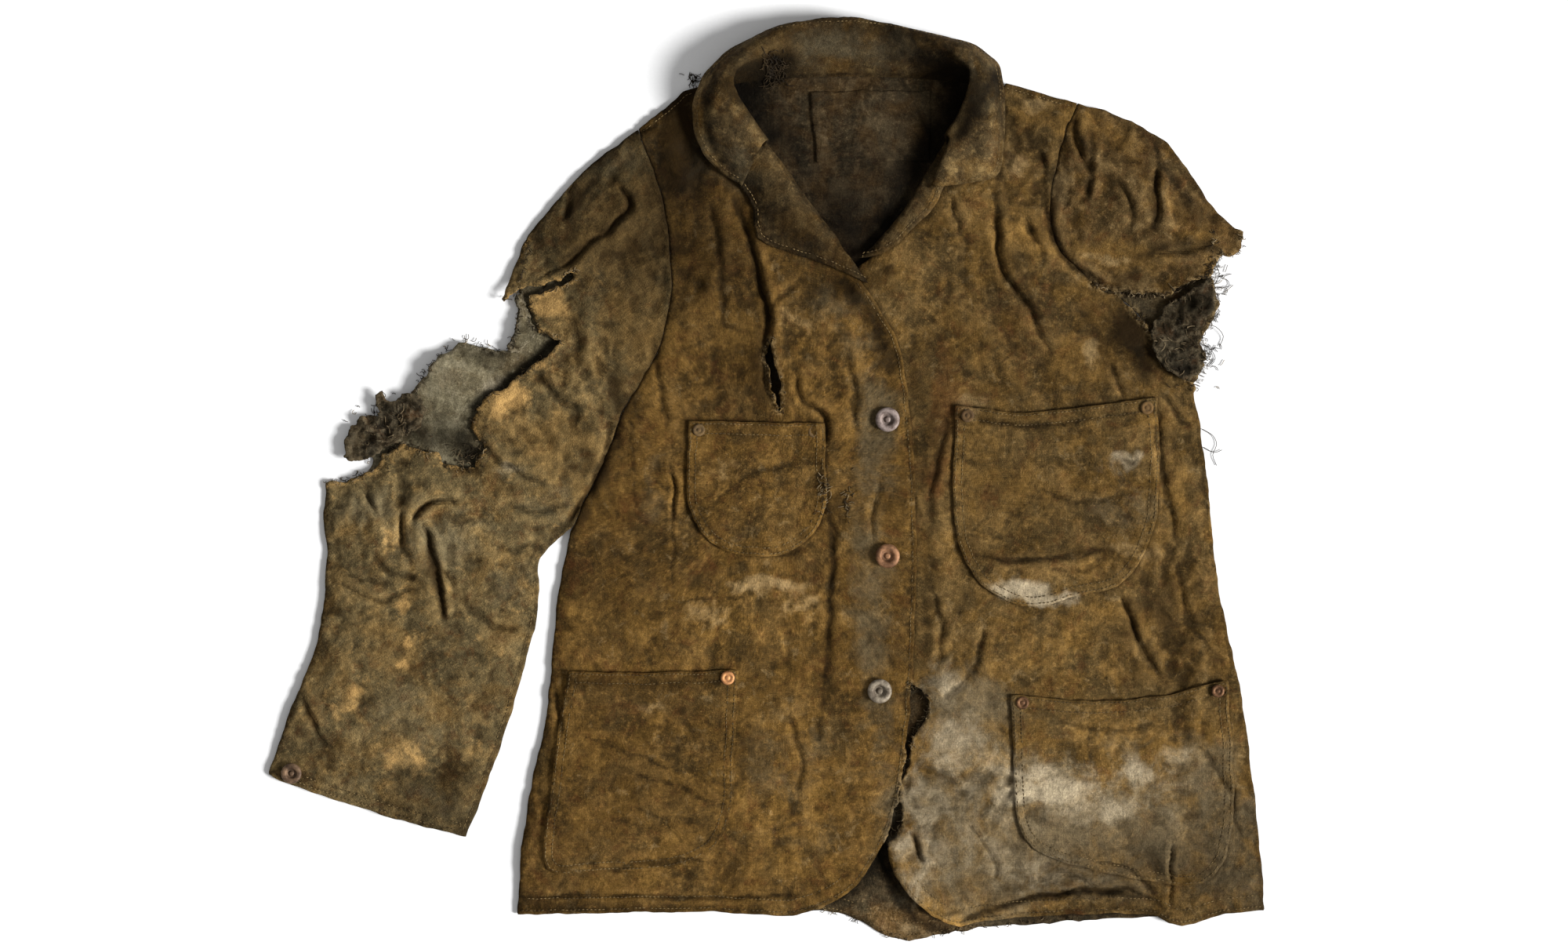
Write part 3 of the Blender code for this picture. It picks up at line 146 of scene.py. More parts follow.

# Stained patches of each kind: x, y, reach_x, reach_y, strength, and turn in degrees if it has one.
# The dark kind also holds painted shade under the collar, in the armpit and inside the neck.
STAINS = {
    "ochre": (
        (-112, 190, 50, 60, 0.75), (-100, 110, 34, 60, 0.8), (-150, 20, 60, 40, 0.5),
        (-118, -102, 54, 36, 0.5), (-46, 138, 24, 36, 0.35), (-22, 102, 24, 30, 0.5),
        (-76, 108, 30, 24, 0.45), (-10, -6, 36, 36, 0.25), (-154, 30, 30, 30, 0.5),
        (-130, -18, 30, 24, 0.6), (-202, 36, 30, 18, 0.5, -20), (-46, -258, 54, 36, 0.3),
        (-142, -204, 30, 42, 0.35), (14, -288, 42, 24, 0.45), (62, -114, 30, 36, 0.2),
        (266, 171, 48, 16, 0.85, -8), (326, 183, 24, 10, 0.6, 10), (212, 276, 36, 14, 0.7, -10),
        (254, 264, 36, 18, 0.6, -20), (194, 186, 36, 36, 0.5), (152, 102, 36, 36, 0.45),
        (236, 84, 24, 30, 0.6), (164, 12, 30, 42, 0.4), (242, 30, 36, 30, 0.35), (194, -30, 48, 24, 0.35),
        (254, -108, 36, 30, 0.45), (212, -132, 48, 24, 0.45), (314, -18, 18, 36, 0.5),
        (272, -198, 42, 24, 0.4), (-304, -126, 36, 36, 0.5), (-250, -144, 30, 36, 0.4),
        (-226, -198, 24, 36, 0.35), (-88, 204, 30, 18, 0.4, -30), (-142, 174, 30, 18, 0.45, 30),
        (134, -162, 24, 24, 0.35),
    ),
    "tan": (
        (-165, 134, 19, 13, 1, -20), (-198, 62, 20, 16, 1, 10), (-172, 84, 13, 10, 0.5),
        (-278, -96, 7, 8, 0.9), (-274, -124, 5, 8, 0.9), (-279, -141, 5, 5, 0.7), (-2, -81, 42, 7, 0.7, 4),
        (-28, 6, 18, 12, 0.25), (-58, -198, 24, 12, 0.25, -10), (-86, -174, 18, 6, 0.35),
        (-286, -54, 18, 18, 0.35), (-320, -174, 18, 18, 0.4), (-280, -213, 30, 18, 0.4),
        (204, 285, 18, 7, 0.6), (226, 224, 13, 18, 0.6, -20), (188, 246, 12, 18, 0.4),
        (262, 168, 24, 6, 0.6, -6), (248, 96, 8, 12, 0.6), (158, 54, 18, 12, 0.35), (26, 126, 24, 18, 0.3),
        (-44, 276, 7, 16, 0.5), (148, 276, 7, 18, 0.4, -20), (86, -96, 18, 18, 0.25),
        (20, -96, 24, 18, 0.3), (-46, -102, 24, 12, 0.35), (140, -102, 24, 18, 0.4),
        (278, -54, 24, 12, 0.4), (284, -282, 36, 12, 0.25), (-190, -306, 12, 12, 0.2),
        (172, -213, 13, 8, 0.5),
    ),
    "pale": (
        (150, -235, 62, 72, 0.3), (255, -235, 84, 36, 0.3), (118, -290, 26, 44, 0.4),
        (205, -302, 60, 20, 0.35), (274, 16, 12, 7, 0.6, 10), (261, 6, 14, 9, 0.35, 20),
        (194, -85, 28, 10, 1, -8), (220, -93, 20, 6, 0.7), (212, -240, 40, 8, 1, 2),
        (200, -225, 24, 7, 0.45), (142, -195, 26, 16, 0.4), (128, -213, 16, 14, 0.3),
        (134, -156, 24, 18, 0.45, 40), (112, -234, 10, 14, 0.4), (100, -280, 10, 11, 0.6),
        (254, -252, 42, 12, 0.4), (284, -225, 36, 8, 0.4), (164, -282, 24, 18, 0.25),
        (314, -210, 24, 8, 0.35), (-202, 6, 18, 8, 0.3),
    ),
    "grey": (
        (20, -234, 50, 70, 0.3), (272, -302, 90, 26, 0.4), (-250, -40, 50, 40, 0.3), (84, 30, 16, 46, 0.4),
        (80, -60, 18, 50, 0.5), (84, -160, 18, 50, 0.4), (170, -250, 84, 72, 0.55),
        (300, -250, 84, 64, 0.5), (160, -306, 70, 40, 0.7), (82, 30, 24, 72, 0.55), (80, -102, 22, 66, 0.6),
        (92, -234, 18, 42, 0.5), (74, 108, 24, 30, 0.35), (-304, -24, 30, 18, 0.7),
        (-250, -48, 36, 24, 0.5), (-274, -186, 48, 36, 0.45), (-328, -228, 36, 12, 0.4, -16),
        (-250, -246, 30, 12, 0.5, -16), (-196, -78, 18, 24, 0.5), (152, -174, 42, 42, 0.8),
        (254, -264, 78, 36, 0.8), (350, -270, 30, 48, 0.7), (164, -288, 48, 36, 0.7),
        (332, -210, 30, 24, 0.5), (134, -246, 36, 24, 0.7), (-28, -42, 30, 12, 0.2),
        (-58, 246, 24, 36, 0.5), (-22, 228, 18, 30, 0.4), (62, 330, 72, 16, 0.6), (158, 300, 18, 30, 0.4),
        (50, 132, 24, 18, 0.5), (-166, -18, 24, 18, 0.45), (-106, 246, 30, 18, 0.5, 30),
        (368, -312, 24, 24, 0.6), (278, -18, 36, 30, 0.4), (-88, -6, 12, 36, 0.3), (296, 108, 36, 18, 0.3),
    ),
    # Dark stains and dirt, and painted shade under the collar, in the armpit and inside the neck.
    "dark": (
        (128, 92, 14, 34, 0.45), (131, 20, 9, 46, 0.35), (46, 150, 26, 18, 0.3, -30),
        (-18, 300, 18, 22, 0.9, 30), (152, 285, 14, 36, 0.95, -15), (62, 205, 26, 30, 0.6),
        (16, 262, 18, 40, 0.5, 35), (120, 250, 16, 46, 0.7, -35), (-64, 264, 13, 30, 0.7, -8),
        (-22, 222, 18, 18, 0.5), (-2, 84, 12, 42, 0.7), (16, 66, 10, 18, 0.4), (40, 6, 7, 18, 0.7),
        (54, -18, 7, 24, 0.6), (-116, 66, 10, 30, 0.7), (-130, 6, 10, 24, 0.7, 30), (-142, -27, 8, 12, 0.6),
        (-146, 210, 8, 18, 0.8, -14), (-166, 186, 18, 24, 0.4), (244, 129, 16, 16, 0.4),
        (276, 15, 6, 4, 0.9), (278, 114, 24, 16, 0.9), (314, 138, 18, 16, 0.6), (218, 210, 8, 36, 0.6, -14),
        (296, 216, 7, 30, 0.5), (332, 132, 12, 12, 0.6), (278, -108, 10, 30, 0.6, -24),
        (314, 30, 12, 12, 0.5), (302, -96, 18, 30, 0.4), (134, -333, 24, 6, 0.6), (116, -288, 7, 12, 0.7),
        (98, -258, 6, 24, 0.4), (-63, -175, 7, 5, 0.8), (158, 66, 12, 7, 0.3), (80, 153, 18, 8, 0.6),
        (94, 156, 7, 5, 1), (-253, -75, 8, 30, 0.8, 12), (-352, -180, 8, 24, 0.5, -20),
        (-226, 6, 16, 8, 0.6, -20), (-262, 30, 18, 8, 0.5, -20), (128, 30, 12, 36, 0.4),
        (152, -48, 10, 24, 0.5), (-64, 30, 5, 36, 0.4), (-190, -324, 18, 6, 0.5), (344, -156, 18, 12, 0.4),
        (374, -324, 12, 12, 0.4), (-14, -204, 11, 14, 0.5), (194, 330, 18, 12, 0.3), (176, 282, 6, 36, 0.5),
        (-28, 294, 14, 18, 0.3), (4, 309, 12, 12, 0.8),
    ),
    "rust": (
        (136, 60, 16, 60, 0.7), (190, 120, 40, 50, 0.35), (234, -333, 7, 4, 1), (-146, -66, 16, 18, 0.5),
        (-166, -150, 12, 7, 0.4), (128, 0, 16, 24, 0.6), (152, 54, 8, 7, 0.5), (-106, -18, 16, 16, 0.45),
        (-172, -264, 12, 24, 0.4), (-346, -177, 8, 18, 0.5), (170, -18, 12, 24, 0.35), (294, 82, 8, 4, 0.7),
        (-76, 84, 12, 18, 0.4), (92, -42, 12, 12, 0.3), (170, -214, 10, 5, 0.6), (68, -162, 6, 5, 0.3),
        (-118, -150, 30, 12, 0.4), (-46, -66, 24, 8, 0.4),
    ),
}

# Torn edges of the cloth.
TORN_EDGES = {
    "front": (
        (92, -279), (102, -258), (99, -243), (108, -210), (113, -192), (123, -177), (119, -165),
        (104, -154),
    ),
    "rip": (
        (-203, 136), (-189, 143), (-166, 149), (-147, 159), (-150, 152), (-166, 143), (-180, 138),
        (-180, 124), (-174, 112), (-157, 105), (-174, 90), (-196, 73), (-220, 56), (-224, 37), (-216, 21),
        (-226, 8), (-242, 11), (-259, 20), (-278, 26), (-290, 20), (-301, 6), (-315, 0), (-337, -3),
    ),
    "rip_under": (
        (-182, 179), (-189, 143), (-194, 102), (-213, 100), (-231, 105), (-248, 97), (-260, 81), (-270, 66),
        (-286, 50), (-300, 36), (-306, 21), (-303, 9), (-316, 1), (-337, -3),
    ),
    "sleeve": (
        (362, 188), (360, 171), (347, 172), (341, 159), (322, 149), (308, 142), (279, 140), (249, 149),
    ),
    "sleeve_under": (
        (340, 190), (340, 156), (345, 130), (332, 106), (336, 86), (326, 71), (300, 102), (278, 131),
    ),
    "gash": ((4, 108), (-3, 96), (2, 72), (7, 52), (13, 52), (12, 72), (7, 92), (4, 108)),
    "back_hem": ((41, -331), (66, -337), (101, -352), (150, -346), (190, -341), (236, -338)),
}

# Rows of top-stitching on each sheet: how far in from its edge, and where along the edge the row
# starts and ends, going round anticlockwise. With no start it goes all round.
STITCH_ROWS = {
    "front_right": (
        (3, (-188, -333), (72, 150)), (12, (-188, -333), (64, -315)), (3.5, (-52, 299), (-99, 267)),
    ),
    "front_left": (
        (3, (106, -315), (378, -331)), (12, (106, -315), (378, -331)), (3.5, (237, 287), (182, 302)),
    ),
    "sleeve_right_upper": (
        (3.2, (-382, -226), (-230, -274)), (9, (-382, -226), (-230, -274)), (4, (-230, -274), (-174, -80)),
    ),
    "back": ((3, (30, -332), (170, -344)), (12, (30, -332), (170, -344))),
    "chest_pocket_right": ((1.9, None, None), (6.6, (-60, 34), (44, 34)), (9.5, (44, 44), (-60, 44))),
    "chest_pocket_left": ((1.9, None, None), (7, (144, 46), (298, 50)), (9.5, (298, 62), (144, 56))),
    "lower_pocket_right": (
        (1.9, None, None), (7, (-154, -158), (-22, -158)), (8.5, (-22, -146), (-153, -147)),
    ),
    "lower_pocket_left": ((1.9, None, None), (7, (186, -176), (352, -166)), (9, (352, -154), (186, -165))),
    "lapel_right": ((3.6, (-22, 225), (74, 150)),),
    "lapel_left": ((3.6, (70, 168), (136, 222)),),
}

# Where the cloth is more crumpled, or pressed flatter: x, y, reach_x, reach_y, added share.
CRUMPLED = (
    (-124, 205, 60, 75, 0.9), (214, 258, 50, 40, 0.9), (-136, 72, 50, 50, 0.7), (277, 216, 60, 60, 0.3),
    (-20, 150, 50, 60, 0.4), (300, -110, 40, 60, 0.5), (-290, -40, 60, 60, 1.5), (-200, 60, 60, 60, 0.9),
    (-320, -200, 50, 60, 0.2), (310, -60, 40, 90, 0.9), (330, -240, 50, 80, 0.7), (60, 90, 30, 50, 0.8),
    (210, 200, 40, 70, 0.7), (290, 220, 50, 50, 0.6), (-60, 180, 60, 60, 0.5), (150, -260, 60, 60, 0.5),
    (-6, -8, 48, 44, -0.5), (220, -18, 70, 66, -0.35), (-95, -220, 60, 60, -0.2), (100, -60, 20, 120, -0.3),
    (90, -120, 40, 60, 0.2),
)

# Threads that hang from torn edges: edge, side they point to (1 is left of its run), count, length,
# and share of them that are pale.
FRINGES = (
    ("front", 1, 100, 4, 0.8), ("rip", 1, 130, 5, 0.45), ("rip_under", 1, 120, 5, 0.3),
    ("sleeve", -1, 100, 5, 0.3), ("sleeve_under", -1, 90, 6, 0.25), ("gash", -1, 40, 3, 0.3),
    ("back_hem", -1, 44, 3.2, 0.4),
)

# Shaggy spots: x, y, reach_x, reach_y, count, length, how high the threads stand, and pale share.
SHAGGY = (
    (43, -10, 5, 18, 50, 4, 0.8, 0.5), (6, 311, 10, 12, 120, 4.5, 1.4, 0), (-57, 306, 4, 5, 26, 5, 1.2, 0),
    (-290, 38, 26, 22, 110, 5, 1.3, 0.2), (318, 112, 20, 34, 90, 5.5, 1.2, 0.2),
    (-230, 16, 16, 10, 50, 4, 1, 0.5), (62, -20, 4, 20, 30, 3.5, 0.6, 0.5),
    (346, 150, 8, 12, 16, 7, 0.6, 0.3), (338, 96, 6, 20, 20, 6, 0.6, 0.2),
)

# Single threads that stick out from the jacket's edge.
LOOSE_THREADS = (
    ((333, 38), (341, 33), (344, 26), (341, 18), (344, 10)), ((334, 24), (342, 20), (348, 22)),
    ((336, 160), (343, 162), (346, 156), (343, 150)), ((334, 118), (343, 116), (349, 109), (346, 101)),
    ((330, 104), (339, 99), (343, 92), (340, 87)), ((-56, 302), (-60, 307), (-59, 311)),
)

# The back's neckline, which is widened to meet the collar.
BACK_NECK = ((182, 302), (158, 304), (122, 308), (64, 310), (14, 308), (-28, 305), (-52, 299))

# Collar: foot, roll line and outer edge of each section across it, then their three heights.
COLLAR_SECTIONS = (
    (-6, 253.5, -3, 260, -22, 225, 6, 22, 10.5),
    (-16, 266, -12, 274, -34, 232, 6, 25, 10.5),
    (-27, 280, -22, 288, -48, 246, 6, 29, 10.5),
    (-40, 291, -28, 300, -56, 264, 6, 32, 10.5),
    (-43, 297, -25, 312, -57.5, 286, 5.6, 33, 8),
    (-31, 300.6, -15, 322, -49, 309, 5, 32, 6),
    (-14, 303.4, 0, 332, -30, 328, 4.6, 30, 4),
    (8, 305.6, 18, 341, 4, 344.5, 4.4, 26, 3.2),
    (35, 306.8, 42, 347, 38, 350.6, 4.3, 24, 2.6),
    (64, 307.4, 66, 348.4, 66, 352, 4.3, 23, 2.4),
    (93, 306.8, 94, 344, 95, 348, 4.3, 24, 2.6),
    (120, 305.6, 120, 335, 129, 340, 4.4, 27, 3.2),
    (143, 303.6, 142, 325, 159, 332, 4.6, 30, 4),
    (162, 301.6, 155, 312, 178, 317, 5, 32, 6),
    (174, 297.6, 153, 298, 182, 296, 5.6, 32, 8),
    (165, 287, 150, 288, 182, 272, 6, 30, 10.5),
    (153, 273, 146, 277, 179, 229, 6, 27, 10.5),
    (142, 254, 139, 264, 136, 223, 6, 23, 10.5),
)
COLLAR_ROLL = 3.2
STAND_SHARES = (0, 0.4, 0.76)
ROLL_ANGLES = (180, 150, 120, 90, 65, 40)
FALL_SHARES = ((0.2, 0.985), (0.38, 0.93), (0.7, 0.58), (0.88, 0.24), (1, 0))

# The collar's cloth: how far it runs past its end sections, the step along it, and points across it.
COLLAR_END = 4.0
COLLAR_STEP = 2.2
COLLAR_ACROSS = 34

# Half the profile of a tack button and of a rivet: radius and height.
BUTTON_PROFILE = (
    (0, 3.1), (1.1, 3.1), (1.7, 3), (2.1, 2.5), (2.5, 1.9), (3.3, 1.8), (4, 2.3), (4.5, 3.3), (5.1, 3.95),
    (6, 4.2), (7.2, 4.25), (8.2, 3.95), (8.9, 3.4), (9.3, 2.8), (9.25, 2.3), (8.8, 1.7), (6, 1.3),
    (3.2, 1.2), (2.8, 0), (0, 0),
)
RIVET_PROFILE = (
    (0, 1.75), (0.8, 1.7), (1.3, 1.5), (1.7, 1.1), (2.2, 0.95), (2.8, 1.15), (3.4, 1.5), (4, 1.6),
    (4.7, 1.4), (5.25, 1), (5.5, 0.6), (5.4, 0.2), (5.1, 0), (0, 0),
)
RIVET_WIDTH = 11.0

# Sheets whose underside is the garment's outer side, and the place on the drawing, twice over, that
# their stains are turned about.
OUTER_SIDES = ("back", "sleeve_right_under", "sleeve_left_under")
TURNED_ABOUT = (100, -60)

# What lies on each sheet.
ABOVE = {
    "front_right": (
        "chest_pocket_right", "lower_pocket_right", "lapel_right", "collar", "sleeve_right_upper",
    ),
    "front_left": (
        "chest_pocket_left", "lower_pocket_left", "lapel_left", "collar", "front_right", "torn_strip",
        "sleeve_left_upper", "scrap_armhole",
    ),
    "sleeve_right_upper": ("front_right", "scrap_elbow"),
    "back": ("front_right", "front_left", "collar"),
    "chest_pocket_left": ("front_right",),
    "lower_pocket_left": ("front_right",),
    "neck_facing": ("collar", "front_right", "front_left"),
    "lapel_right": ("collar",),
    "lapel_left": ("collar",),
}

# Broad lighter and darker areas, partly the cloth's own tone and partly painted shade where the cloth
# turns from the light or lies under raised parts: x, y, reach_x, reach_y, how many doublings of
# brightness, and turn in degrees if it has one.
SHADES = (
    (-124, 205, 60, 75, -0.95, -40), (-150, 90, 50, 50, -0.1), (-60, 130, 60, 80, -0.45),
    (-60, 190, 60, 60, -0.4), (-106, -69, 50, 60, -0.35), (-10, -100, 60, 30, 0.4), (30, -240, 60, 70, 0.3),
    (-254, -252, 40, 34, -0.9, -20), (-350, -214, 26, 22, -0.5), (250, -230, 90, 80, 0.3),
    (240, -110, 70, 46, 0.25), (-118, 130, 34, 80, -0.15), (210, 105, 70, 60, -0.3),
    (214, 258, 45, 40, -0.35, -20), (225, 0, 80, 70, -0.15), (30, 175, 60, 40, -0.4, -30),
    (-20, 70, 30, 60, -0.3), (310, -120, 40, 60, -0.4), (275, -305, 80, 30, -0.3),
    (360, -300, 40, 60, -0.5), (-170, -300, 40, 60, -0.2), (110, -340, 60, 18, 1.75),
    (76, 240, 34, 20, -0.5), (300, 130, 50, 40, -0.5), (-250, -40, 60, 40, 0.3), (-190, 30, 40, 40, 0.15),
    (132, -66, 20, 90, 0.28), (-58, 117, 45, 64, 0.15), (272, -300, 98, 30, -0.2),
    (148, -234, 41, 75, 0.12), (20, -234, 52, 75, -0.06),
)

# Painted shadow, with dirt, along folds and gaps and under raised edges, and painted highlights, with
# some worn pale edges, along ridges and edges, by the pieces they are on: half width, how many
# doublings of brightness, and run.
SHADOWS = {
    ("collar", "neck_facing", "back"): ((1.6, -1.7, ((14, 307), (64, 309), (122, 307))),),
    ("front_right",): (
        (24, -4, ((-67, 296), (-68, 270), (-62, 242))), (26, -0.8, ((-70, 250), (-56, 200), (-40, 150))),
        (4, -1.9, ((-26, 214), (-14, 184), (-8, 156), (-2, 140), (1, 122))),
        (11, -2.7, ((-116, 46), (-119, 22), (-130, 0), (-145, -25))),
        (10, -2.1, ((58, 148), (74, 134), (88, 112), (93, 88))),
        (3, 0.7, ((84, 143), (97, 126), (106, 104), (110, 78))),
        (5, -0.9, ((46, -20), (50, -80), (46, -150))), (16, -0.35, ((92, 40), (96, -60), (92, -180))),
        (2, -1.4, ((-188, -320), (-120, -318), (-40, -320), (24, -318))),
        (9, -1.2, ((-188, -326), (-150, -328), (-100, -328))),
        (7, -0.6, ((-100, -328), (-60, -329), (0, -330))),
        (2.2, -1.5, ((47, -24), (50, -60), (48, -100), (44, -156), (40, -200))),
        (2, -1.2, ((-104, 44), (-102, 10), (-100, -20))),
        (2.4, -1.1, ((82, -291), (96, -261), (104, -222), (110, -162), (114, -84), (113, -6), (108, 60))),
        (3, -0.8, ((-99, 267), (-84, 228), (-75, 186), (-74, 138), (-84, 96), (-109, 54))),
    ),
    ("front_left",): (
        (3, -1.6, ((158, -59), (186, -63), (216, -62), (262, -54))),
        (7, -1, ((122, -140), (123, -84), (122, -6), (118, 54), (111, 90))),
        (2.6, -2.2, ((154, -335), (175, -328), (196, -322), (214, -318), (254, -316), (290, -320))),
        (3, 0.5, ((170, -336), (196, -329), (216, -325), (254, -323))),
        (4, -1.5, ((177, 238), (177, 205), (179, 182), (196, 150), (210, 124))),
        (6, -1, ((250, 112), (262, 86), (284, 60))),
    ),
    ("chest_pocket_left",): (
        (3.5, -1.5, ((160, -58), (186, -62), (216, -61), (262, -53))),
        (3.5, -1.1, ((158, 47), (180, 42), (206, 40), (244, 45))),
        (6, 0.5, ((288, 52), (296, 30), (297, 10))),
    ),
    ("lower_pocket_right",): (
        (60, -0.3, ((-100, -240), (-60, -240))), (7, -1.2, ((-150, -154), (-90, -156), (-40, -155))),
    ),
    ("chest_pocket_right",): ((50, -0.18, ((-30, 0), (0, 0))),),
    ("back",): (
        (5, -3, ((86, -280), (90, -296), (96, -312), (107, -330), (122, -341), (148, -347))),
        (6, -1.8, ((58, -320), (76, -303), (85, -288))),
    ),
    ("back", "neck_facing"): (
        (17, -1, ((-4, 290), (18, 250), (42, 212), (62, 180))),
        (14, -2.6, ((128, 318), (144, 306), (142, 288), (136, 270), (124, 250), (108, 230), (91, 194),
            (71, 168))),
        (20, -0.9, ((58, 200), (72, 176), (84, 200))),
    ),
    ("collar",): (
        (11, -2.2, ((116, 320), (134, 315), (150, 306))),
        (5, 1.7, ((157, 312), (152, 292), (146, 274), (138, 262))),
        (4, -2, ((176, 308), (166, 292), (156, 276), (146, 258))),
        (9, 1.5, ((174, 284), (172, 260), (168, 236))), (8, 1.7, ((-54, 300), (-54, 268), (-42, 240))),
        (30, -0.5, ((0, 335), (60, 350), (120, 335))), (26, 0.2, ((-46, 300), (-36, 270), (-16, 246))),
        (4, -2, ((-46, 292), (-44, 264), (-33, 242))),
        (9, 1.2, ((-30, 310), (-24, 288), (-10, 268), (-2, 252))),
    ),
    ("back", "lapel_right"): ((8, -3.2, ((-22, 302), (-16, 286), (-6, 272), (4, 262))),),
    ("back", "collar"): ((11, -2.6, ((-6, 300), (4, 311), (14, 320))),),
    ("collar", "lapel_left"): ((14, 1.35, ((150, 250), (140, 230), (124, 206))),),
    ("lapel_right",): (
        (4, 0.8, ((-2, 256), (24, 222), (50, 186), (66, 164))),
        (12, -1.1, ((-8, 220), (14, 190), (36, 172))),
    ),
    ("sleeve_right_under", "sleeve_right_upper"): ((14, -1.9, ((-264, 34), (-240, 31), (-226, 22))),),
    ("front_left", "sleeve_left_upper"): (
        (3.5, -1.1, ((199, 262), (213, 243), (221, 220), (218, 196), (225, 175), (238, 161), (252, 151))),
        (3, -1.8, ((217, 200), (219, 186), (226, 174))),
    ),
    ("sleeve_left_upper",): (
        (2.8, -1.4, ((248, 266), (247, 238), (246, 212))),
        (3.5, -1.8, ((234, 287), (235, 267), (243, 251))),
        (2.4, -2.4, ((297, 257), (297.5, 247), (299, 239))),
        (3.4, -2.2, ((302, 239), (309, 229), (316, 220), (322, 212))),
        (10, -1.3, ((324, 208), (332, 198), (338, 190))), (2, 0.7, ((306, 222), (307, 205), (312, 190))),
        (3, 0.5, ((306, 245), (322, 223), (338, 205))), (3, -2, ((297, 230), (296, 190))),
        (4, -1.8, ((284, 169), (306, 177), (329, 180), (344, 176))),
    ),
    ("sleeve_right_upper",): (
        (2.6, -1.2, ((-99, 267), (-84, 228), (-75, 186), (-74, 138), (-84, 96), (-109, 54))),
        (3.2, -2.4, ((-133, 227), (-143, 212), (-154, 198))),
        (4.5, -1.5, ((-103, 216), (-110, 198), (-126, 187), (-147, 172), (-162, 161))),
        (7, -1.5, ((-144, 231), (-111, 257), (-86, 272))),
    ),
    ("front_right", "sleeve_right_upper"): ((14, -0.5, ((-90, 236), (-80, 200), (-82, 156))),),
    ("front_left", "sleeve_left_under"): ((12, -3.8, ((275, 112), (284, 100), (291, 86))),),
    ("scrap_armhole",): ((5, -3, ((296, 80), (310, 82), (324, 84))),),
    ("sleeve_right_under",): (
        (6, -3, ((-158, 108), (-172, 96), (-190, 80), (-206, 68), (-224, 55))),
        (3, -2.2, ((-214, 95), (-200, 96), (-190, 104))), (9, -1.6, ((-226, 44), (-232, 28), (-226, 14))),
    ),
    ("torn_strip", "sleeve_right_under"): ((3, -3.6, ((-192, 143), (-191, 122), (-195, 103))),),
}

# Edges and wrinkles that stand up from what is under them: half width, height, and run.
LIFTED = {
    "back": (
        (4, 1.3, ((-14, 264), (4, 238), (16, 208))), (3, 1, ((10, 266), (18, 240), (30, 222))),
        (4, 1.2, ((38, 208), (60, 198), (84, 208))), (3.5, 1.1, ((48, 190), (66, 180), (82, 190))),
        (3, 0.9, ((96, 256), (88, 232), (98, 214))),
    ),
    "front_left": ((13, 3.5, ((96, -282), (101, -304), (114, -322), (138, -333))),),
    "front_right": ((9, 2.6, ((78, 146), (96, 128), (106, 104), (111, 74))),),
    "sleeve_right_upper": (
        (9, 3, ((-147, 159), (-166, 149), (-189, 143), (-203, 136))),
        (8, 2.4, ((-157, 105), (-174, 90), (-196, 73), (-220, 56))),
    ),
    "sleeve_left_upper": ((8, 1.6, ((362, 188), (347, 172), (341, 159), (308, 142), (279, 140))),),
    "lapel_right": ((8, 1.6, ((0, 256), (24, 222), (50, 186), (68, 160))),),
}

# Colours of the duck and its dirt, the soil colour also painting shade in hollows, creases and gaps,
# then how strongly the mud and the wear, with the painted shade of hollows, show.
TONES = {
    "dark": (0.037, 0.0228, 0.0072),
    "middle": (0.098, 0.0568, 0.0168),
    "light": (0.200, 0.119, 0.039),
    "ochre": (0.170, 0.092, 0.021),
    "tan": (0.280, 0.190, 0.085),
    "clay": (0.088, 0.057, 0.021),
    "grey": (0.135, 0.102, 0.056),
    "pale": (0.400, 0.325, 0.210),
    "rust": (0.075, 0.028, 0.008),
    "soil_and_shade": (0.018, 0.010, 0.003),
    "bump": 0.9,
    "wear_and_hollow_shade": 0.06,
    "drift": 0.5,
    "clay_share": 0.6,
}

# Tones that differ on some pieces.
INSIDE = {
    "dark": (0.010, 0.007, 0.003), "middle": (0.037, 0.024, 0.011), "light": (0.095, 0.066, 0.032),
    "soil_and_shade": (0.003, 0.002, 0.001), "grey": (0.070, 0.055, 0.032), "clay": (0.042, 0.033, 0.018),
    "ochre": (0.066, 0.036, 0.011), "tan": (0.09, 0.065, 0.035), "rust": (0.024, 0.011, 0.004),
    "bump": 1.3,
}
GREY_LAYER = {
    "dark": (0.062, 0.048, 0.026), "middle": (0.124, 0.102, 0.058), "light": (0.23, 0.20, 0.13),
    "soil_and_shade": (0.010, 0.007, 0.003), "grey": (0.14, 0.12, 0.074), "clay": (0.128, 0.110, 0.066),
    "ochre": (0.14, 0.10, 0.05), "tan": (0.26, 0.22, 0.15), "rust": (0.06, 0.045, 0.025),
}
FOREARM = {
    "dark": (0.046, 0.032, 0.014), "middle": (0.108, 0.074, 0.030), "light": (0.23, 0.155, 0.062),
    "clay": (0.101, 0.076, 0.035), "tan": (0.42, 0.25, 0.085), "ochre": (0.145, 0.082, 0.023), "drift": 0.5,
    "grey": (0.125, 0.098, 0.052), "clay_share": 0.7,
}
CAP_LEFT = {
    "dark": (0.030, 0.018, 0.006), "middle": (0.080, 0.046, 0.016), "light": (0.18, 0.115, 0.045),
}
COLLAR_TONES = {
    "dark": (0.015, 0.009, 0.003), "middle": (0.042, 0.025, 0.009), "light": (0.110, 0.072, 0.028),
    "clay": (0.045, 0.032, 0.015), "ochre": (0.085, 0.045, 0.010), "rust": (0.034, 0.015, 0.004),
    "tan": (0.17, 0.115, 0.045), "grey": (0.075, 0.060, 0.034), "soil_and_shade": (0.005, 0.003, 0.001),
}
FRONT_RIGHT = {
    "dark": (0.038, 0.022, 0.006), "middle": (0.098, 0.052, 0.0125), "light": (0.200, 0.112, 0.031),
    "clay": (0.083, 0.051, 0.017), "grey": (0.114, 0.085, 0.044), "ochre": (0.168, 0.092, 0.021),
}
SLEEVE_INSIDE = {
    "dark": (0.022, 0.014, 0.007), "middle": (0.060, 0.042, 0.020), "light": (0.12, 0.09, 0.045),
    "clay": (0.062, 0.048, 0.026), "ochre": (0.08, 0.05, 0.018),
}
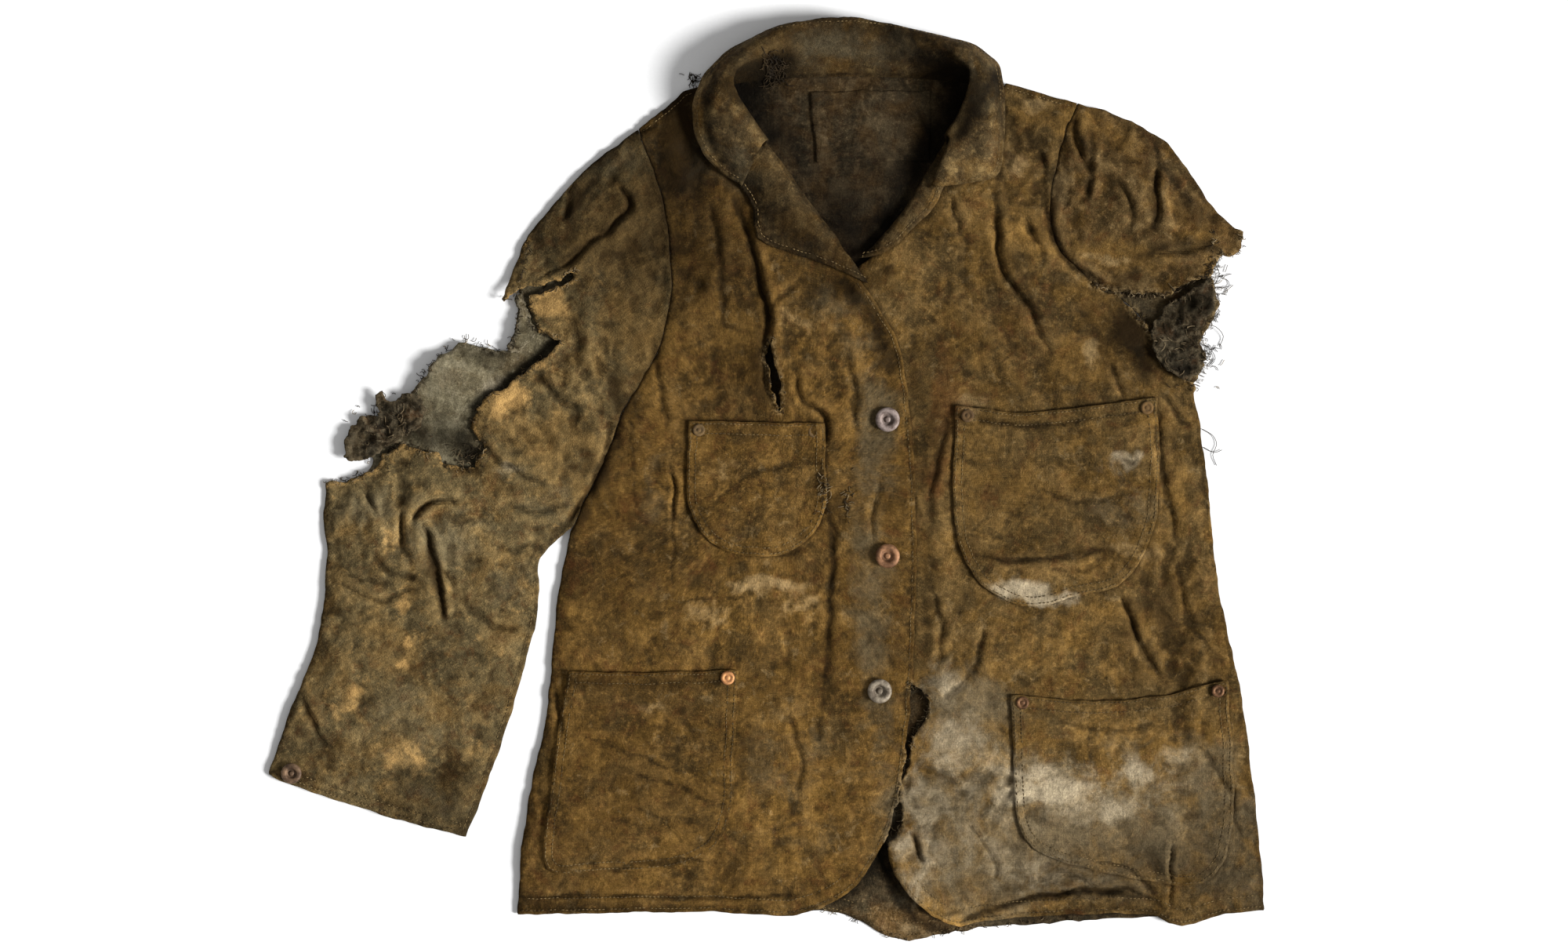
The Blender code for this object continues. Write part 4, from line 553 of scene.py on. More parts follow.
SCRAP_TONES = {
    "dark": (0.013, 0.010, 0.005), "middle": (0.044, 0.033, 0.018), "light": (0.140, 0.110, 0.066),
    "ochre": (0.070, 0.047, 0.022), "soil_and_shade": (0.004, 0.003, 0.001), "clay": (0.064, 0.053, 0.034),
    "tan": (0.14, 0.105, 0.06),
    "bump": 1.4,
}

# Dark and light colours of each button and rivet.
BUTTON_LOOKS = {
    "button_top": ((0.10, 0.065, 0.05), (0.34, 0.27, 0.24)),
    "button_middle": ((0.12, 0.052, 0.02), (0.36, 0.18, 0.085)),
    "button_low": ((0.10, 0.075, 0.05), (0.36, 0.30, 0.22)),
    "button_cuff": ((0.05, 0.026, 0.012), (0.20, 0.12, 0.065)),
}
RIVET_LOOKS = {
    "rivet_chest_right_outer": ((0.055, 0.032, 0.010), (0.15, 0.088, 0.030)),
    "rivet_chest_right_inner": ((0.055, 0.032, 0.010), (0.15, 0.088, 0.030)),
    "rivet_chest_left_inner": ((0.070, 0.035, 0.008), (0.155, 0.082, 0.022)),
    "rivet_chest_left_outer": ((0.070, 0.035, 0.008), (0.165, 0.088, 0.024)),
    "rivet_lower_right": ((0.22, 0.07, 0.02), (0.62, 0.30, 0.12)),
}
RIVET_PLAIN = ((0.075, 0.032, 0.012), (0.24, 0.12, 0.055))


def smoothstep(value, start, end):
    share = np.clip((value - start) / (end - start), 0, 1)
    return share * share * (3 - 2 * share)


def lattice_angle(ix, iy, seed):
    """A fixed angle for each corner of the noise's grid, mixed from its place by large odd numbers."""
    mixed = (ix * 374761393 + iy * 668265263 + seed * 974634777) & 0xFFFFFFFF
    mixed = ((mixed ^ (mixed >> 13)) * 1274126177) & 0xFFFFFFFF
    mixed = mixed ^ (mixed >> 16)
    return mixed / 0xFFFFFFFF * 2 * np.pi


def noise(x, y, seed):
    """Smooth noise from about -1 to 1, one cell a unit."""
    ix = np.floor(x).astype(np.int64)
    iy = np.floor(y).astype(np.int64)
    fx = x - ix
    fy = y - iy
    wx = fx * fx * fx * (fx * (fx * 6 - 15) + 10)
    wy = fy * fy * fy * (fy * (fy * 6 - 15) + 10)
    total = 0.0
    for dx, share_x in ((0, 1 - wx), (1, wx)):
        for dy, share_y in ((0, 1 - wy), (1, wy)):
            angle = lattice_angle(ix + dx, iy + dy, seed)
            slope = np.cos(angle) * (fx - dx) + np.sin(angle) * (fy - dy)
            total = total + share_x * share_y * slope
    return total * 1.5


def wandered(x, y, reach, size, seed):
    """The points strayed by up to about this reach, in waves of this size."""
    return x + reach * noise(x / size, y / size, seed), y + reach * noise(x / size, y / size, seed + 1)


def segments_of(line, closed):
    line = np.asarray(line, float)
    ends = np.roll(line, -1, axis=0) if closed else line[1:]
    starts = line if closed else line[:-1]
    return starts, ends


def nearest_on(points, starts, ends):
    """Distance to a line, side (1 on its left), and how far along it the nearest place is, in mm."""
    best = np.full(len(points), np.inf)
    side = np.zeros(len(points))
    along = np.zeros(len(points))
    run = 0.0
    for start, end in zip(starts, ends):
        step = end - start
        length = float(np.hypot(*step))
        if length == 0:
            continue
        offset = points - start
        share = np.clip(offset @ step / length**2, 0, 1)
        gap = offset - share[:, None] * step
        distance = np.hypot(gap[:, 0], gap[:, 1])
        closer = distance < best
        best[closer] = distance[closer]
        side[closer] = np.sign(step[0] * offset[closer, 1] - step[1] * offset[closer, 0])
        along[closer] = run + share[closer] * length
        run += length
    return best, side, along, run


def run_along(line):
    """How far along a line each of its points is."""
    return np.concatenate([[0], np.cumsum(np.linalg.norm(np.diff(line, axis=0), axis=1))])


def points_at(values, along, at):
    """Values known at stations along a run, worked out at other places along it."""
    columns = values.reshape(len(values), -1).T
    new = np.column_stack([np.interp(at, along, column) for column in columns])
    return new.reshape(-1, *values.shape[1:])


def respaced(loop, spacing):
    """A closed loop with its points this far apart."""
    closed = np.vstack([loop, loop[:1]])
    along = run_along(closed)
    count = max(8, round(along[-1] / spacing))
    return points_at(closed, along, np.arange(count) * along[-1] / count)


def respaced_open(line, spacing):
    along = run_along(line)
    return points_at(line, along, np.linspace(0, along[-1], max(2, round(along[-1] / spacing) + 1)))


def curved(line, spacing):
    """The stations joined by a smooth line, with points this far apart."""
    line = np.asarray(line, float)
    padded = np.vstack([2 * line[0] - line[1], line, 2 * line[-1] - line[-2]])
    out = []
    for i in range(1, len(padded) - 2):
        a, b, c, d = padded[i - 1 : i + 3]
        count = max(1, round(float(np.hypot(*(c - b)[:2])) / spacing))
        for t in np.arange(count) / count:
            out.append(
                0.5
                * (2 * b + (c - a) * t + (2 * a - 5 * b + 4 * c - d) * t**2 + (3 * b - a - 3 * c + d) * t**3)
            )
    out.append(line[-1])
    return np.array(out)


def crease_relief(x, y):
    """Height of the creases drawn in the table, lips and all, at each point."""
    points = np.column_stack(wandered(x, y, 2.6, 19, 5))
    out = np.zeros(len(points))
    for number, (depth, width, left, right, line) in enumerate(CREASES):
        stations = curved(line, 8.0)
        reach = 5 * width
        low = stations.min(axis=0) - reach
        high = stations.max(axis=0) + reach
        near = np.where(((points > low) & (points < high)).all(axis=1))[0]
        if not len(near):
            continue
        distance, side, along, run = nearest_on(points[near], *segments_of(stations, False))
        ends = smoothstep(along, 0, 0.22 * run) * smoothstep(run - along, 0, 0.22 * run)
        uneven = 1 + 0.45 * noise(along / 15, np.full(len(near), 0.5), 40 + number)
        lip = np.where(side > 0, left, right)
        narrow = 0.85 * width
        dip = depth / (1 + (distance / narrow) ** 2) ** 1.7
        rise = 1.3 * lip * np.exp(-(((distance - 2.2 * narrow) / (1.9 * narrow)) ** 2))
        out[near] += ends * uneven * (rise - dip)
    return out


def crumple(x, y):
    """Height of the small unplanned folds of stiff, worn cloth."""
    wx, wy = wandered(x, y, 9, 46, 1)
    broad = 1.7 * noise(wx / 66, wy / 52, 11) + 1.8 * noise(wx / 130, wy / 105, 17)
    fold = 0.5 - np.abs(noise(wx / 33, wy / 40, 12)) * 2.0
    small = 0.5 - np.abs(noise(wx / 15 + 3.1, wy / 18, 13)) * 2.0
    fine = noise(x / 8.2, y / 8.2, 14)
    grain = noise(x / 5.0, y / 5.0, 15)
    share = np.ones(len(x))
    for cx, cy, reach_x, reach_y, added in CRUMPLED:
        share += added * np.exp(-(((x - cx) / reach_x) ** 2) - ((y - cy) / reach_y) ** 2)
    patchy = 0.6 + 0.55 * smoothstep(noise(x / 55, y / 55, 16), -0.4, 0.6)
    return broad + share * patchy * (0.85 * fold + 0.55 * small + 0.34 * fine) + 0.16 * grain


def cad_mesh(name):
    """Points (mm) and triangles of a node, with its loose triangles joined."""
    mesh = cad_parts[name].data
    points = np.empty(len(mesh.vertices) * 3, np.float32)
    mesh.vertices.foreach_get("co", points)
    mesh.calc_loop_triangles()
    faces = np.empty(len(mesh.loop_triangles) * 3, np.int32)
    mesh.loop_triangles.foreach_get("vertices", faces)
    points = points.reshape(-1, 3).astype(float) / MM
    joined, index = np.unique(np.round(points, 3), axis=0, return_inverse=True)
    faces = index.reshape(-1)[faces.reshape(-1, 3)]
    whole = (faces[:, 0] != faces[:, 1]) & (faces[:, 1] != faces[:, 2]) & (faces[:, 0] != faces[:, 2])
    return joined, faces[whole]


def top_of(name):
    """The upper faces of a node's solid: its points, those triangles, and the loops round them."""
    points, faces = cad_mesh(name)
    a, b, c = (points[faces[:, i]] for i in range(3))
    normal = np.cross(b - a, c - a)
    up = faces[normal[:, 2] > 0.15 * np.linalg.norm(normal, axis=1)]
    edges = np.concatenate([up[:, [0, 1]], up[:, [1, 2]], up[:, [2, 0]]]).tolist()
    known = set(map(tuple, edges))
    following = {start: end for start, end in edges if (end, start) not in known}
    loops = []
    while following:
        loop = [next(iter(following))]
        while loop[-1] in following:
            loop.append(following.pop(loop[-1]))
        loops.append(points[loop[:-1]])
    loops = [loop for loop in loops if len(loop) > 2 and abs(signed_area(loop[:, :2])) > 20]
    loops.sort(key=lambda loop: -abs(signed_area(loop[:, :2])))
    return points, up, loops


def signed_area(loop):
    x, y = loop[:, 0], loop[:, 1]
    return float(np.sum(x * np.roll(y, -1) - np.roll(x, -1) * y) / 2)


def normals_of(loop):
    """Unit vectors that point out of an anticlockwise loop."""
    along = np.roll(loop, -1, axis=0) - np.roll(loop, 1, axis=0)
    along /= np.maximum(np.linalg.norm(along, axis=1), 1e-9)[:, None]
    return np.column_stack([along[:, 1], -along[:, 0]])


def torn_share(points, whole):
    """1 along torn edges of the cloth and 0 elsewhere."""
    if whole:
        return np.ones(len(points))
    share = np.zeros(len(points))
    for line in TORN_EDGES.values():
        stations = np.asarray(line, float) + SHIFT
        distance = nearest_on(points, *segments_of(stations, False))[0]
        share = np.maximum(share, 1 - smoothstep(distance, 2.5, 6.0))
    return share


def ragged(loop, seed, whole, jag):
    """The loop with a frayed, uneven run where the cloth is torn and a slight wave elsewhere."""
    share = torn_share(loop, whole)
    count = len(loop)
    at = np.arange(count) * 2 * np.pi / count
    radius = count / (2 * np.pi)
    across, down = np.cos(at) * radius, np.sin(at) * radius
    coarse = noise(across / 7.1, down / 7.1, seed) + 0.7 * noise(across / 2.9, down / 2.9, seed + 1)
    coarse += 0.8 * np.maximum(noise(across / 1.7, down / 1.7, seed + 3), 0)
    slow = noise(across / 14, down / 14, seed + 2)
    move = share * jag * coarse + (1 - share) * 0.22 * slow
    return loop + normals_of(loop) * move[:, None]


def swayed(loop, whole):
    """The loop with the slow, uneven sway of edges that have shrunk along their seams, except where torn."""
    x, y = (loop - SHIFT).T
    move = [noise(x / 21, y / 21, seed) + 0.5 * noise(x / 7.5, y / 7.5, seed + 2) for seed in (81, 82)]
    return loop + np.column_stack(move) * (1 - torn_share(loop, whole))[:, None]


def inside(points, loop):
    x, y = points[:, 0], points[:, 1]
    within = np.zeros(len(points), bool)
    for (x1, y1), (x2, y2) in zip(loop, np.roll(loop, -1, axis=0)):
        if y1 == y2:
            continue
        crosses = ((y1 > y) != (y2 > y)) & (x < (x2 - x1) * (y - y1) / (y2 - y1) + x1)
        within ^= crosses
    return within


def rim_distance(points, loops):
    """Distance of each point to the nearest loop, by a tree over the loops' points."""
    rim = np.vstack([respaced(loop, 1.0) for loop in loops])
    tree = KDTree(len(rim))
    for i, (x, y) in enumerate(rim):
        tree.insert((x, y, 0), i)
    tree.balance()
    return np.array([tree.find((x, y, 0))[2] for x, y in points])


def cut(loops, spacing):
    """A sheet cut to its loops: points with the loops' first, triangles, and loops as indices."""
    outer = loops[0]
    low, high = outer.min(axis=0), outer.max(axis=0)
    rows = np.arange(low[1], high[1], spacing * math.sqrt(3) / 2)
    lattice = []
    for number, y in enumerate(rows):
        xs = np.arange(low[0] + (number % 2) * spacing / 2, high[0], spacing)
        lattice.append(np.column_stack([xs, np.full(len(xs), y)]))
    lattice = np.vstack(lattice)
    lattice = lattice[inside(lattice, outer)]
    for hole in loops[1:]:
        lattice = lattice[~inside(lattice, hole)]
    away = rim_distance(lattice, loops)
    lattice = lattice[away > 0.55 * spacing]
    points = np.vstack([*loops, lattice])
    rings = []
    edges = []
    first = 0
    for loop in loops:
        ring = list(range(first, first + len(loop)))
        rings.append(ring)
        edges += list(zip(ring, ring[1:] + ring[:1]))
        first += len(loop)
    flat = [Vector(point) for point in points]
    found = delaunay_2d_cdt(flat, edges, [], 0, 1e-5)
    verts = np.array([tuple(v) for v in found[0]])
    faces = np.array(found[2])
    origin = [ids[0] if ids else -1 for ids in found[3]]
    place = {source: i for i, source in enumerate(origin) if source >= 0}
    a, b, c = (verts[faces[:, i]] for i in range(3))
    middle = (a + b + c) / 3
    keep = inside(middle, outer)
    for hole in loops[1:]:
        keep &= ~inside(middle, hole)
    ab, ac = b - a, c - a
    area = ab[:, 0] * ac[:, 1] - ab[:, 1] * ac[:, 0]
    faces = np.where((area < 0)[:, None], faces[:, ::-1], faces)
    faces = faces[keep & (np.abs(area) > 1e-4)]
    used = np.unique(faces)
    renumber = np.full(len(verts), -1)
    renumber[used] = np.arange(len(used))
    rings = [[renumber[place[i]] for i in ring if i in place and renumber[place[i]] >= 0] for ring in rings]
    return verts[used], renumber[faces], rings


def neighbours(faces, count):
    edges = np.concatenate([faces[:, [0, 1]], faces[:, [1, 2]], faces[:, [2, 0]]])
    edges = np.unique(np.sort(edges, axis=1), axis=0)
    starts = np.concatenate([edges[:, 0], edges[:, 1]])
    ends = np.concatenate([edges[:, 1], edges[:, 0]])
    return starts, ends, np.maximum(np.bincount(starts, minlength=count), 1)


def smoothed(values, faces, rounds, share):
    """Values averaged with their neighbours' a number of times, as far as each point's share."""
    starts, ends, degree = neighbours(faces, len(values))
    for _ in range(rounds):
        mean = np.bincount(starts, weights=values[ends], minlength=len(values)) / degree
        values = values + share * (mean - values)
    return values


def tree_of(points, faces):
    return BVHTree.FromPolygons([tuple(p) for p in points], [tuple(f) for f in faces.tolist()])


def heights_on(tree, x, y, missing):
    """Height of a surface straight below each point, or the value for missing where there is none."""
    out = np.full(len(x), float(missing))
    down = Vector((0, 0, -1))
    for i in range(len(x)):
        hit = tree.ray_cast(Vector((x[i], y[i], 500.0)), down)[0]
        if hit is not None:
            out[i] = hit.z
    return out


def heights_near(tree, x, y):
    """Height of a surface below each point, and of its nearest place beside its rim."""
    out = heights_on(tree, x, y, NOWHERE)
    for i in np.where(out == NOWHERE)[0]:
        out[i] = tree.find_nearest(Vector((x[i], y[i], 10.0)))[0].z
    return out


# The upper surface of each piece once it is laid, as a tree, and the rows to be stitched.
laid = {}
stitch_lines = []


class Sheet:
    """One piece of cloth: its outline, and the points, triangles and heights of its upper surface."""

    def __init__(self, name, spacing, wall, jag=2.0, whole=False, seed=0, widened=()):
        self.name = name
        self.wall = wall
        self.whole = whole
        points, faces, loops = top_of(name)
        loops = [respaced(loop[:, :2], spacing * 0.9) for loop in loops]
        self.outline = swayed(loops[0], whole)
        loops = [ragged(loop, seed + 17 * i, whole, jag) for i, loop in enumerate(loops)]
        for line, reach in widened:
            stations = np.asarray(line, float) + SHIFT
            for i, loop in enumerate(loops):
                share = 1 - smoothstep(nearest_on(loop, *segments_of(stations, False))[0], 1.8, 3.2)
                loops[i] = loop + normals_of(loop) * (share * reach)[:, None]
        loops = [swayed(loop, whole) for loop in loops]
        self.xy, self.faces, self.rings = cut(loops, spacing)
        self.x, self.y = self.xy.T
        self.away = rim_distance(self.xy, loops)
        self.z = heights_near(tree_of(points, faces), self.x, self.y)
        self.base = self.z.copy()
        self.area = float(signed_area(loops[0]) - sum(abs(signed_area(loop)) for loop in loops[1:]))

    def smooth(self, rounds, from_rim=5.0):
        self.z = smoothed(self.z, self.faces, rounds, smoothstep(self.away, 0, from_rim))

    def crease(self, roughness, creases=1.55, from_rim=6.0, at_rim=0.4):
        """Adds the small folds, the drawn creases and the raised edges, less so at the rim."""
        share = at_rim + (1 - at_rim) * smoothstep(self.away, 0, from_rim)
        place = self.xy - SHIFT
        self.z = self.z + share * (roughness * crumple(*place.T) + creases * crease_relief(*place.T))
        for width, height, line in LIFTED.get(self.name, ()):
            distance = nearest_on(place, *segments_of(curved(line, 5.0), False))[0]
            self.z += height * np.exp(-((distance / width) ** 2))

    def row_inside(self, inset, start, end):
        """Points of a row that runs this far inside the outline, between two places on it or all round."""
        loop = respaced(self.outline, 2.0)
        count = len(loop)
        if start is None:
            ids = list(range(count)) + [0]
        else:
            first, last = (int(np.argmin(np.hypot(*(loop - SHIFT - place).T))) for place in (start, end))
            ids = [(first + i) % count for i in range((last - first) % count + 1)]
        inward = -normals_of(loop)
        for _ in range(3):
            inward = (np.roll(inward, 1, axis=0) + inward + np.roll(inward, -1, axis=0)) / 3
        inward /= np.linalg.norm(inward, axis=1)[:, None]
        return (loop + inward * inset)[ids]

    def stitch(self, depth=0.4, pucker=0.28):
        """Presses the piece's rows of stitching into the cloth, with the small puckers beside them."""
        for inset, start, end in STITCH_ROWS.get(self.name, ()):
            line = self.row_inside(inset, start, end)
            low, high = line.min(axis=0) - 9, line.max(axis=0) + 9
            near = np.where(((self.xy > low) & (self.xy < high)).all(axis=1))[0]
            if start is None:
                near = near[np.abs(self.away[near] - inset) < 9]
            distance, _, along, _ = nearest_on(self.xy[near], *segments_of(line, False))
            ripple = noise(along / 3.6, np.full(len(near), inset), 71)
            ripple += 0.5 * noise(along / 8, distance / 9, 72)
            self.z[near] -= depth * np.exp(-((distance / 1.3) ** 2))
            self.z[near] += pucker * ripple * np.exp(-((distance / 4.2) ** 2))
            stitch_lines.append((self.name, line))

    def lay_on(self, names=(), gap=GAP):
        """Lifts the cloth clear of the pieces under it, and of the table."""
        for name in names:
            floor = heights_on(laid[name], self.x, self.y, NOWHERE) + self.wall + gap
            lifted = floor > self.z
            if lifted.any():
                push = np.where(lifted, floor - self.z, 0.0)
                soft = smoothed(push, self.faces, 3, 0.8)
                raised = self.z + np.where(lifted, push, 0.6 * soft)
                self.z = np.maximum(raised, np.where(lifted, floor, NOWHERE))
        self.z = np.maximum(self.z, self.wall + 0.02)


def oval(x, y, patch, core):
    """A patch's strength at each point: whole in its core, less round it and none outside."""
    cx, cy, reach_x, reach_y, strength, turn = (*patch, 0)[:6]
    angle = math.radians(turn)
    dx, dy = x - cx, y - cy
    u = (dx * math.cos(angle) + dy * math.sin(angle)) / reach_x
    v = (dy * math.cos(angle) - dx * math.sin(angle)) / reach_y
    return strength * (1 - smoothstep(np.hypot(u, v), core, 1.35))


def shade_at(name, x, y):
    """Painted shade and light, with broad changes of the cloth's tone, as a factor on a piece's plain tone.
    """
    wx, wy = wandered(x, y, 9, 29, 35)
    doublings = np.zeros(len(x))
    for patch in SHADES:
        doublings += oval(wx, wy, patch, 0.5)
    frayed = np.column_stack(wandered(x, y, 1.6, 6, 38))
    for names, runs in SHADOWS.items():
        for width, change, line in runs if name in names else ():
            distance, _, along, _ = nearest_on(frayed, *segments_of(curved(line, 6.0), False))
            uneven = 0.8 + 0.35 * noise(along / 12, np.full(len(x), width), 41)
            doublings += change * uneven * np.exp(-((distance / (0.75 * width)) ** 2))
    return 2.0 ** np.clip(doublings, -4.5, 2)


def stain_at(kind, x, y):
    """How strongly one kind of stain shows at each point, from 0 to 1; the dark kind also holds painted
    shade.
    """
    wx = x + 5 * noise(x / 17, y / 17, 31) + 2.6 * noise(x / 7, y / 7, 33)
    wy = y + 5 * noise(x / 17, y / 17, 32) + 2.6 * noise(x / 7, y / 7, 34)
    clear = np.ones(len(x))
    for patch in STAINS[kind]:
        clear *= 1 - oval(wx, wy, patch, 0.2)
    return 1 - clear


def material_slot(obj, material):
    obj.data.materials.clear()
    obj.data.materials.append(material)


def new_object(name, points, faces, edges=()):
    """A smooth mesh from points in mm."""
    mesh = bpy.data.meshes.new(name)
    mesh.from_pydata([tuple(point) for point in np.asarray(points) * MM], edges, faces)
    mesh.validate()
    mesh.polygons.foreach_set("use_smooth", np.ones(len(mesh.polygons), bool))
    mesh.update()
    obj = bpy.data.objects.new(name, mesh)
    bpy.context.scene.collection.objects.link(obj)
    return obj


def add_attribute(obj, name, values):
    attribute = obj.data.attributes.new(name, "FLOAT", "POINT")
    attribute.data.foreach_set("value", np.asarray(values, np.float32))


def add_colours(obj, name, rows):
    attribute = obj.data.attributes.new(name, "FLOAT_COLOR", "POINT")
    attribute.data.foreach_set("color", np.asarray(rows, np.float32).reshape(-1))


def dirt_and_shade_beside(name, xy):
    """Dirt and painted shade held along the edges of the pieces that lie on a sheet, from 0 to 1."""
    soil_and_shade = np.zeros(len(xy))
    for other in ABOVE.get(name, ()):
        outline = top_of(other)[2][0][:, :2]
        low, high = outline.min(axis=0) - 8, outline.max(axis=0) + 8
        near = np.where(((xy > low) & (xy < high)).all(axis=1))[0]
        if not len(near):
            continue
        distance = nearest_on(xy[near], *segments_of(outline, True))[0]
        uneven = 0.75 + 0.5 * noise(xy[near, 0] / 13, xy[near, 1] / 13, 37)
        if other.startswith("sleeve") or other == "lower_pocket_right":
            uneven *= 0.3
        soil_and_shade[near] = np.maximum(soil_and_shade[near], uneven * np.exp(-distance / 2.2))
    return np.clip(soil_and_shade, 0, 1)


def paint(obj, name, points, worn_and_shaded, torn, darkening):
    """Stores where mud, stains, wear, frayed edges and painted shade and light are, for the cloth's material.

    The points are those of the upper side, then those of the underside.
    """
    x, y = (points[:, :2] - SHIFT).T
    shade = shade_at(name, x, y)
    if name in OUTER_SIDES:
        below = np.arange(len(x)) >= len(x) // 2
        add_attribute(obj, "outer_side", below)
        own_shade = 2.0 ** (0.5 * noise(x / 60, y / 60, 61) + 0.3 * noise(x / 25, y / 25, 62))
        shade = np.where(below, own_shade, shade)
        x, y = (np.where(below, about - value, value) for about, value in zip(TURNED_ABOUT, (x, y)))
    kinds = [stain_at(kind, x, y) for kind in ("ochre", "tan", "grey", "dark")]
    # The dark channel holds dark stains and dirt, painted shade along the edges of the pieces that lie on
    # this one, and the darkening passed in: dirt and painted shade in creases, painted shade on the collar's
    # stand.
    beside = 0.9 * dirt_and_shade_beside(name, points[:, :2])
    kinds[3] = 1 - (1 - kinds[3]) * (1 - beside) * (1 - np.tile(darkening, 2))
    add_colours(obj, "mud", np.column_stack(kinds))
    for kind in ("pale", "rust"):
        add_attribute(obj, kind, stain_at(kind, x, y))
    add_attribute(obj, "shade", shade)
    add_attribute(obj, "wear_and_hollow_shade", np.tile(worn_and_shaded, 2))
    add_attribute(obj, "torn", np.tile(torn, 2))


def shell_of(top, under, faces, rings):
    """Points and triangles of a closed shell: its upper side, its underside and walls round the rings."""
    count = len(top)
    parts = [faces, faces[:, ::-1] + count]
    for ring in rings:
        ring = np.array(ring)
        after = np.roll(ring, -1)
        parts.append(np.column_stack([ring, ring + count, after + count]))
        parts.append(np.column_stack([ring, after + count, after]))
    return np.vstack([top, under]), np.vstack(parts).tolist()


def keep_in_place_of(obj, name, material):
    """Gives a finished piece its material and slot, on its body and in place of its solid."""
    material_slot(obj, material)
    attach(obj, BODY)
    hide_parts(name)


def dress(sheet, material):
    """Turns a laid sheet into its closed and painted shell of cloth, and keeps its upper surface."""
    top = np.column_stack([sheet.xy, sheet.z])
    laid[sheet.name] = tree_of(top, sheet.faces)
    points, faces = shell_of(top, top - (0, 0, sheet.wall), sheet.faces, sheet.rings)
    obj = new_object(sheet.name + "_cloth", points, faces)
    # Raised cloth and worn edges are painted lighter as wear, hollows darker with dirt and painted shade.
    even = np.full(len(top), 0.9)
    broad = smoothed(sheet.z, sheet.faces, 60, even)
    near = smoothed(sheet.z, sheet.faces, 6, even)
    relative = 0.55 * (sheet.z - broad) / 0.9 + 0.6 * (sheet.z - near) / 0.35
    edge = 1 - smoothstep(sheet.away, 0.6, 3.0)
    torn = torn_share(sheet.xy, sheet.whole) * (1 - smoothstep(sheet.away, 1.0, 5.0))
    bright = 0.5 if "pocket" in sheet.name and sheet.name != "lower_pocket_right" else 0.15
    worn_and_shaded = np.clip(np.clip(relative, -1, 1) + bright * edge * (1 - torn), -1, 1)
    # Dirt and painted shade in the drawn creases, for the dark channel.
    creased = 0.7 * smoothstep(-crease_relief(*(sheet.xy - SHIFT).T), 0.7, 2.6)
    paint(obj, sheet.name, points, worn_and_shaded, torn, creased)
    keep_in_place_of(obj, sheet.name, material)


def new_tree(kind, name, inputs, outputs):
    """A node tree with these named sockets, its helper, and the sockets of its input and output nodes."""
    tree = bpy.data.node_groups.new(name, kind)
    for label, value_kind, value in inputs:
        socket = tree.interface.new_socket(label, in_out="INPUT", socket_type="NodeSocket" + value_kind)
        if value is not None:
            socket.default_value = value
    for label, value_kind in outputs:
        tree.interface.new_socket(label, in_out="OUTPUT", socket_type="NodeSocket" + value_kind)
    given, out = tree.nodes.new("NodeGroupInput"), tree.nodes.new("NodeGroupOutput")
    return tree, Nodes(tree), given.outputs, out.inputs


class Nodes:
    """Short calls that add nodes to one tree and join them."""

    def __init__(self, tree):
        self.tree = tree

    def put(self, value, socket):
        if isinstance(value, bpy.types.NodeSocket):
            self.tree.links.new(value, socket)
        elif value is not None:
            socket.default_value = value

    def add(self, kind, given=None, **choices):
        """A node with these choices set, and these values or links on its inputs."""
        node = self.tree.nodes.new(kind)
        for key, value in choices.items():
            setattr(node, key, value)
        for socket, value in (given or {}).items():
            self.put(value, node.inputs[socket])
        return node

    def math(self, operation, *values):
        return self.add("ShaderNodeMath", dict(enumerate(values)), operation=operation).outputs[0]

    def vector(self, operation, a, b=None, scale=None):
        return self.add("ShaderNodeVectorMath", {0: a, 1: b, 3: scale}, operation=operation).outputs[0]

    def noise(self, at, scale, detail=3.0, roughness=0.55, distortion=0.0):
        look = {"Scale": scale, "Detail": detail, "Roughness": roughness, "Distortion": distortion}
        return self.add("ShaderNodeTexNoise", {"Vector": at, **look}).outputs[0]

    def spread(self, value, low, high, to_low=0.0, to_high=1.0):
        """The value's way from low to high, eased at both ends, as a value between the other two."""
        given = dict(enumerate((value, low, high, to_low, to_high)))
        return self.add("ShaderNodeMapRange", given, interpolation_type="SMOOTHSTEP").outputs[0]

    def mix(self, share, a, b):
        a, b = ((*tone[:3], 1.0) if isinstance(tone, tuple) else tone for tone in (a, b))
        return self.add("ShaderNodeMix", {0: share, 6: a, 7: b}, data_type="RGBA").outputs[2]

    def attribute(self, name, output="Fac"):
        return self.add("ShaderNodeAttribute", attribute_name=name).outputs[output]

    def contrast(self, value, amount):
        """A factor round one, from noise that lies round one half."""
        return self.math("MULTIPLY_ADD", self.math("SUBTRACT", value, 0.5), amount, 1.0)

    def wander(self, place):
        """Slow sideways drift of the yarns, as a vector a little round zero."""
        drift = self.add("ShaderNodeTexNoise", {"Vector": place, "Scale": 0.09, "Detail": 1.0})
        return self.vector("SUBTRACT", drift.outputs["Color"], (0.5, 0.5, 0.5))

    def stripes(self, place, stretch):
        return self.noise(self.vector("MULTIPLY", place, stretch), 1.0, 2.0, 0.6)

    def bump(self, height, strength, distance):
        given = {"Height": height, "Strength": strength, "Distance": distance}
        return self.add("ShaderNodeBump", given).outputs[0]

    def group(self, tree, **values):
        given = {label.replace("_", " ").capitalize(): value for label, value in values.items()}
        return self.add("ShaderNodeGroup", given, node_tree=tree).outputs

    def finish(self, geometry, material, out):
        """The end of a geometry tree: real meshes with their material."""
        real = self.add("GeometryNodeRealizeInstances", {0: geometry})
        smooth = self.add("GeometryNodeSetShadeSmooth", {0: real.outputs[0]})
        painted = self.add("GeometryNodeSetMaterial", {"Geometry": smooth.outputs[0], "Material": material})
        self.put(painted.outputs[0], out["Geometry"])


